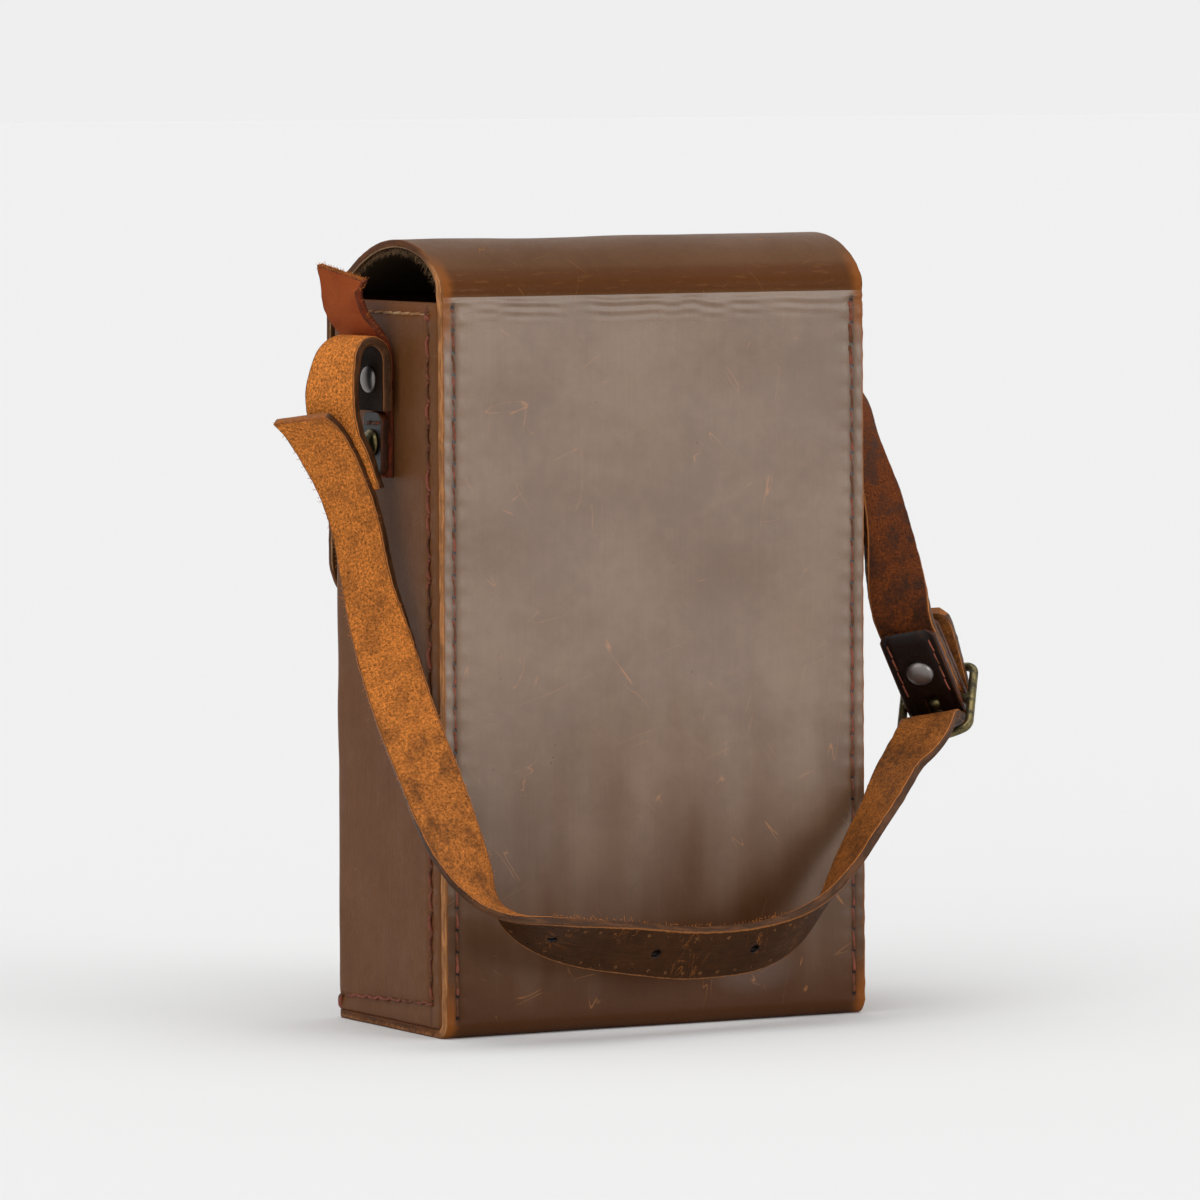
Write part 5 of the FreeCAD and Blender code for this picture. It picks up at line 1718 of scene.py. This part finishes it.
def make_fibres():
    long_strap = long_strap_frames()
    roots = edge_roots(long_strap, 1, -1.1, 260, 101, 0.0, 0.66)
    roots += edge_roots(long_strap, -1, -1.1, 120, 102, 0.0, 0.66)
    chance = random.Random(106)
    for _ in range(150):
        share = chance.uniform(-1, 1)
        roots.append((long_strap.places[0] + long_strap.across[0] * share * 7.1
                      - long_strap.out[0] * chance.uniform(0.4, 1.2)
                      - 2.6 * share * unit_rows(long_strap.places[1:2]
                                                - long_strap.places[:1])[0],
                      long_strap.places[0] - long_strap.places[1]))
    made = loose_fibres("strap_fibres", roots, 0.8, finish("fibre_orange"), 103, 0.05)
    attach(made, "strap")
    stump = stump_frames()
    roots = []
    for _ in range(260):
        share = chance.uniform(-1, 1)
        roots.append((stump.places[-1] + stump.across[-1] * share * 7.2
                      + stump.out[-1] * chance.uniform(-0.9, 0.9),
                      stump.places[-1] - stump.places[-2]))
    roots += edge_roots(stump, 1, 0.2, 70, 107, 0.6, 1.0)
    roots += edge_roots(stump, -1, 0.2, 70, 108, 0.6, 1.0)
    made = loose_fibres("stump_fibres", roots, 0.8, finish("fibre_orange"), 109, 0.06)
    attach(made, "case")
    curve, end = lid_curve()
    places = np.linspace(1.0, end - 10, 140)
    outer = curve(places)
    chance = random.Random(104)
    roots = []
    for y, z in outer:
        for _ in range(3):
            inner = chance.uniform(2.1, 3.4)
            roots.append(((-57.2 + chance.uniform(0, 1.0), y * (1 - inner / 60), z - inner),
                          (-0.3, chance.uniform(-0.5, 0.5), -1.0)))
    made = loose_fibres("lid_fibres", roots, 1.3, finish("fibre_pale"), 105, 0.035)
    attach(made, "lid")


# ---- Stage -------------------------------------------------------------------------

def make_floor():
    mesh = bpy.data.meshes.new("floor")
    reach = 40.0
    mesh.from_pydata([(-reach, -reach, 0), (reach, -reach, 0), (reach, reach, 0),
                      (-reach, reach, 0)], [], [(0, 1, 2, 3)])
    material = bpy.data.materials.new("floor_paper")
    material.use_nodes = True
    graph = Graph(material.node_tree)
    material.node_tree.nodes.remove(material.node_tree.nodes["Principled BSDF"])
    paper = graph.add("ShaderNodeBsdfDiffuse", {"Color": tuple(colours().floor)})
    out = material.node_tree.nodes["Material Output"]
    graph.put(out.inputs["Surface"], paper.outputs[0])
    mesh.materials.append(material)
    made = bpy.data.objects.new("floor", mesh)
    bpy.context.scene.collection.objects.link(made)


def make_light():
    scene = bpy.context.scene
    world = bpy.data.worlds.new("studio")
    world.use_nodes = True
    scene.world = world
    graph = Graph(world.node_tree)
    background = world.node_tree.nodes["Background"]
    path = graph.add("ShaderNodeLightPath").outputs
    seen = graph.math("MAXIMUM", graph.math("MAXIMUM", path["Is Camera Ray"],
                                            path["Is Glossy Ray"]),
                      path["Is Transmission Ray"])
    graph.put(background.inputs["Color"], graph.mix(seen, (1.0, 1.0, 1.0),
                                                    tuple(colours().floor)))
    graph.put(background.inputs["Strength"], graph.range(seen, 0.0, 1.0, 0.36, 1.0))
    scene.view_settings.view_transform = "Standard"
    for name, energy, angle, way in (("softbox", 1.35, 0.55, (0.50, -0.85, 0.10)),
                                     ("side", 0.55, 0.9, (-0.80, -0.50, 0.33)),
                                     ("overhead", 1.72, 1.4, (-0.05, -0.10, 0.99))):
        lamp = bpy.data.lights.new(name, "SUN")
        lamp.energy = energy
        lamp.angle = angle
        made = bpy.data.objects.new(name, lamp)
        scene.collection.objects.link(made)
        made.rotation_mode = "QUATERNION"
        made.rotation_quaternion = Vector(way).to_track_quat("Z", "Y")


def make_camera():
    """The photograph's own view of the left end and the back."""
    right = Vector((0.883, -0.470, -0.005)).normalized()
    up = Vector((0.057, 0.095, 0.994)).normalized()
    ahead = Vector((0.467, 0.878, -0.111)).normalized()
    tilt = math.atan(414 / 8435)
    view = ahead * math.cos(tilt) + up * math.sin(tilt)
    top = up * math.cos(tilt) - ahead * math.sin(tilt)
    data = bpy.data.cameras.new("view")
    data.sensor_width = 36.0
    data.lens = 36.0 * 8435 / math.cos(tilt) / 1200
    data.clip_start, data.clip_end = 0.1, 200.0
    camera = bpy.data.objects.new("view", data)
    bpy.context.scene.collection.objects.link(camera)
    turn = Matrix((right, top, -view)).transposed()
    place = Vector((-0.9628, -1.8107, 0.2285)) - right * 0.00086
    camera.matrix_world = Matrix.Translation(place) @ turn.to_4x4()
    bpy.context.scene.camera = camera


# ---- The add-on --------------------------------------------------------------------

class MakeBody(bpy.types.Operator):
    """Lay the leather of the base, the back and the lid"""

    bl_idname = "camera_case.make_body"
    bl_label = "Body and Lid"

    def execute(self, context):
        make_shell()
        return {"FINISHED"}


class MakeBand(bpy.types.Operator):
    """Bend the strip of the ends and the front round the case"""

    bl_idname = "camera_case.make_band"
    bl_label = "Ends and Front"

    def execute(self, context):
        make_band()
        return {"FINISHED"}


class MakeSewing(bpy.types.Operator):
    """Sew the walls to the end panels and stitch the hems"""

    bl_idname = "camera_case.make_sewing"
    bl_label = "Sewing"

    def execute(self, context):
        make_body_sewing()
        make_end_sewing(-1, "end_stitches_left")
        make_end_sewing(1, "end_stitches_right")
        return {"FINISHED"}


class MakeLinings(bpy.types.Operator):
    """Line the body and the lid with dark napped leather"""

    bl_idname = "camera_case.make_linings"
    bl_label = "Linings"

    def execute(self, context):
        make_linings()
        return {"FINISHED"}


class MakeAnchors(bpy.types.Operator):
    """Hang the loops, the stump, the lugs and their rivets at the ends"""

    bl_idname = "camera_case.make_anchors"
    bl_label = "Anchors"

    def execute(self, context):
        make_stump()
        make_left_loop()
        make_lug(-1, LEFT_BACKING, "lug_leather_left", "lug_left")
        make_lug(1, RIGHT_BACKING, "lug_leather_right", "lug_right")
        make_side_rivets(-1, LEFT_BACKING, "rivet_left", "side_rivets_left")
        make_side_rivets(1, RIGHT_BACKING, "rivet_right", "side_rivets_right")
        dress("side_washers", "gunmetal")
        return {"FINISHED"}


class MakeStraps(bpy.types.Operator):
    """Cut the long and the short strap and hang them on the case"""

    bl_idname = "camera_case.make_straps"
    bl_label = "Straps"

    def execute(self, context):
        make_long_strap()
        make_short_strap()
        return {"FINISHED"}


class MakeBuckle(bpy.types.Operator):
    """Fold the chape round the buckle and fit its rivet and prong"""

    bl_idname = "camera_case.make_buckle"
    bl_label = "Buckle"

    def execute(self, context):
        make_chape()
        make_chape_rivet()
        make_prong()
        dress("buckle_frame", "brass")
        return {"FINISHED"}


class MakeSnap(bpy.types.Operator):
    """Fit the press stud of the front flap"""

    bl_idname = "camera_case.make_snap"
    bl_label = "Press Stud"

    def execute(self, context):
        make_snap()
        for node in ("snap_stud", "snap_burr", "snap_socket"):
            dress(node, "brass")
        return {"FINISHED"}


class MakeFibres(bpy.types.Operator):
    """Raise stray fibres along the worn edges"""

    bl_idname = "camera_case.make_fibres"
    bl_label = "Stray Fibres"

    def execute(self, context):
        make_fibres()
        return {"FINISHED"}


class MakeStage(bpy.types.Operator):
    """Set the floor, the light and the camera"""

    bl_idname = "camera_case.make_stage"
    bl_label = "Stage"

    def execute(self, context):
        make_floor()
        make_light()
        make_camera()
        return {"FINISHED"}


STEPS = (MakeBody, MakeBand, MakeSewing, MakeLinings, MakeAnchors, MakeStraps, MakeBuckle,
         MakeSnap, MakeFibres, MakeStage)


class CasePanel(bpy.types.Panel):
    """Sizes, colours and steps of the camera case"""

    bl_idname = "VIEW3D_PT_camera_case"
    bl_label = "Camera Case"
    bl_space_type = "VIEW_3D"
    bl_region_type = "UI"
    bl_category = "Camera Case"

    def draw(self, context):
        layout = self.layout
        for group in (context.scene.case_sizes, context.scene.case_colours):
            column = layout.column(align=True)
            for name in group.__annotations__:
                column.prop(group, name)
        column = layout.column(align=True)
        for step in STEPS:
            column.operator(step.bl_idname)


CLASSES = (CaseSizes, CaseColours) + STEPS + (CasePanel,)


def register():
    for item in CLASSES:
        bpy.utils.register_class(item)
    bpy.types.Scene.case_sizes = PointerProperty(type=CaseSizes)
    bpy.types.Scene.case_colours = PointerProperty(type=CaseColours)


def unregister():
    del bpy.types.Scene.case_colours
    del bpy.types.Scene.case_sizes
    for item in reversed(CLASSES):
        bpy.utils.unregister_class(item)


def main():
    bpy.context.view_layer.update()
    register()
    for step in STEPS:
        group, name = step.bl_idname.split(".")
        getattr(getattr(bpy.ops, group), name)()


if __name__ == "__main__":
    main()
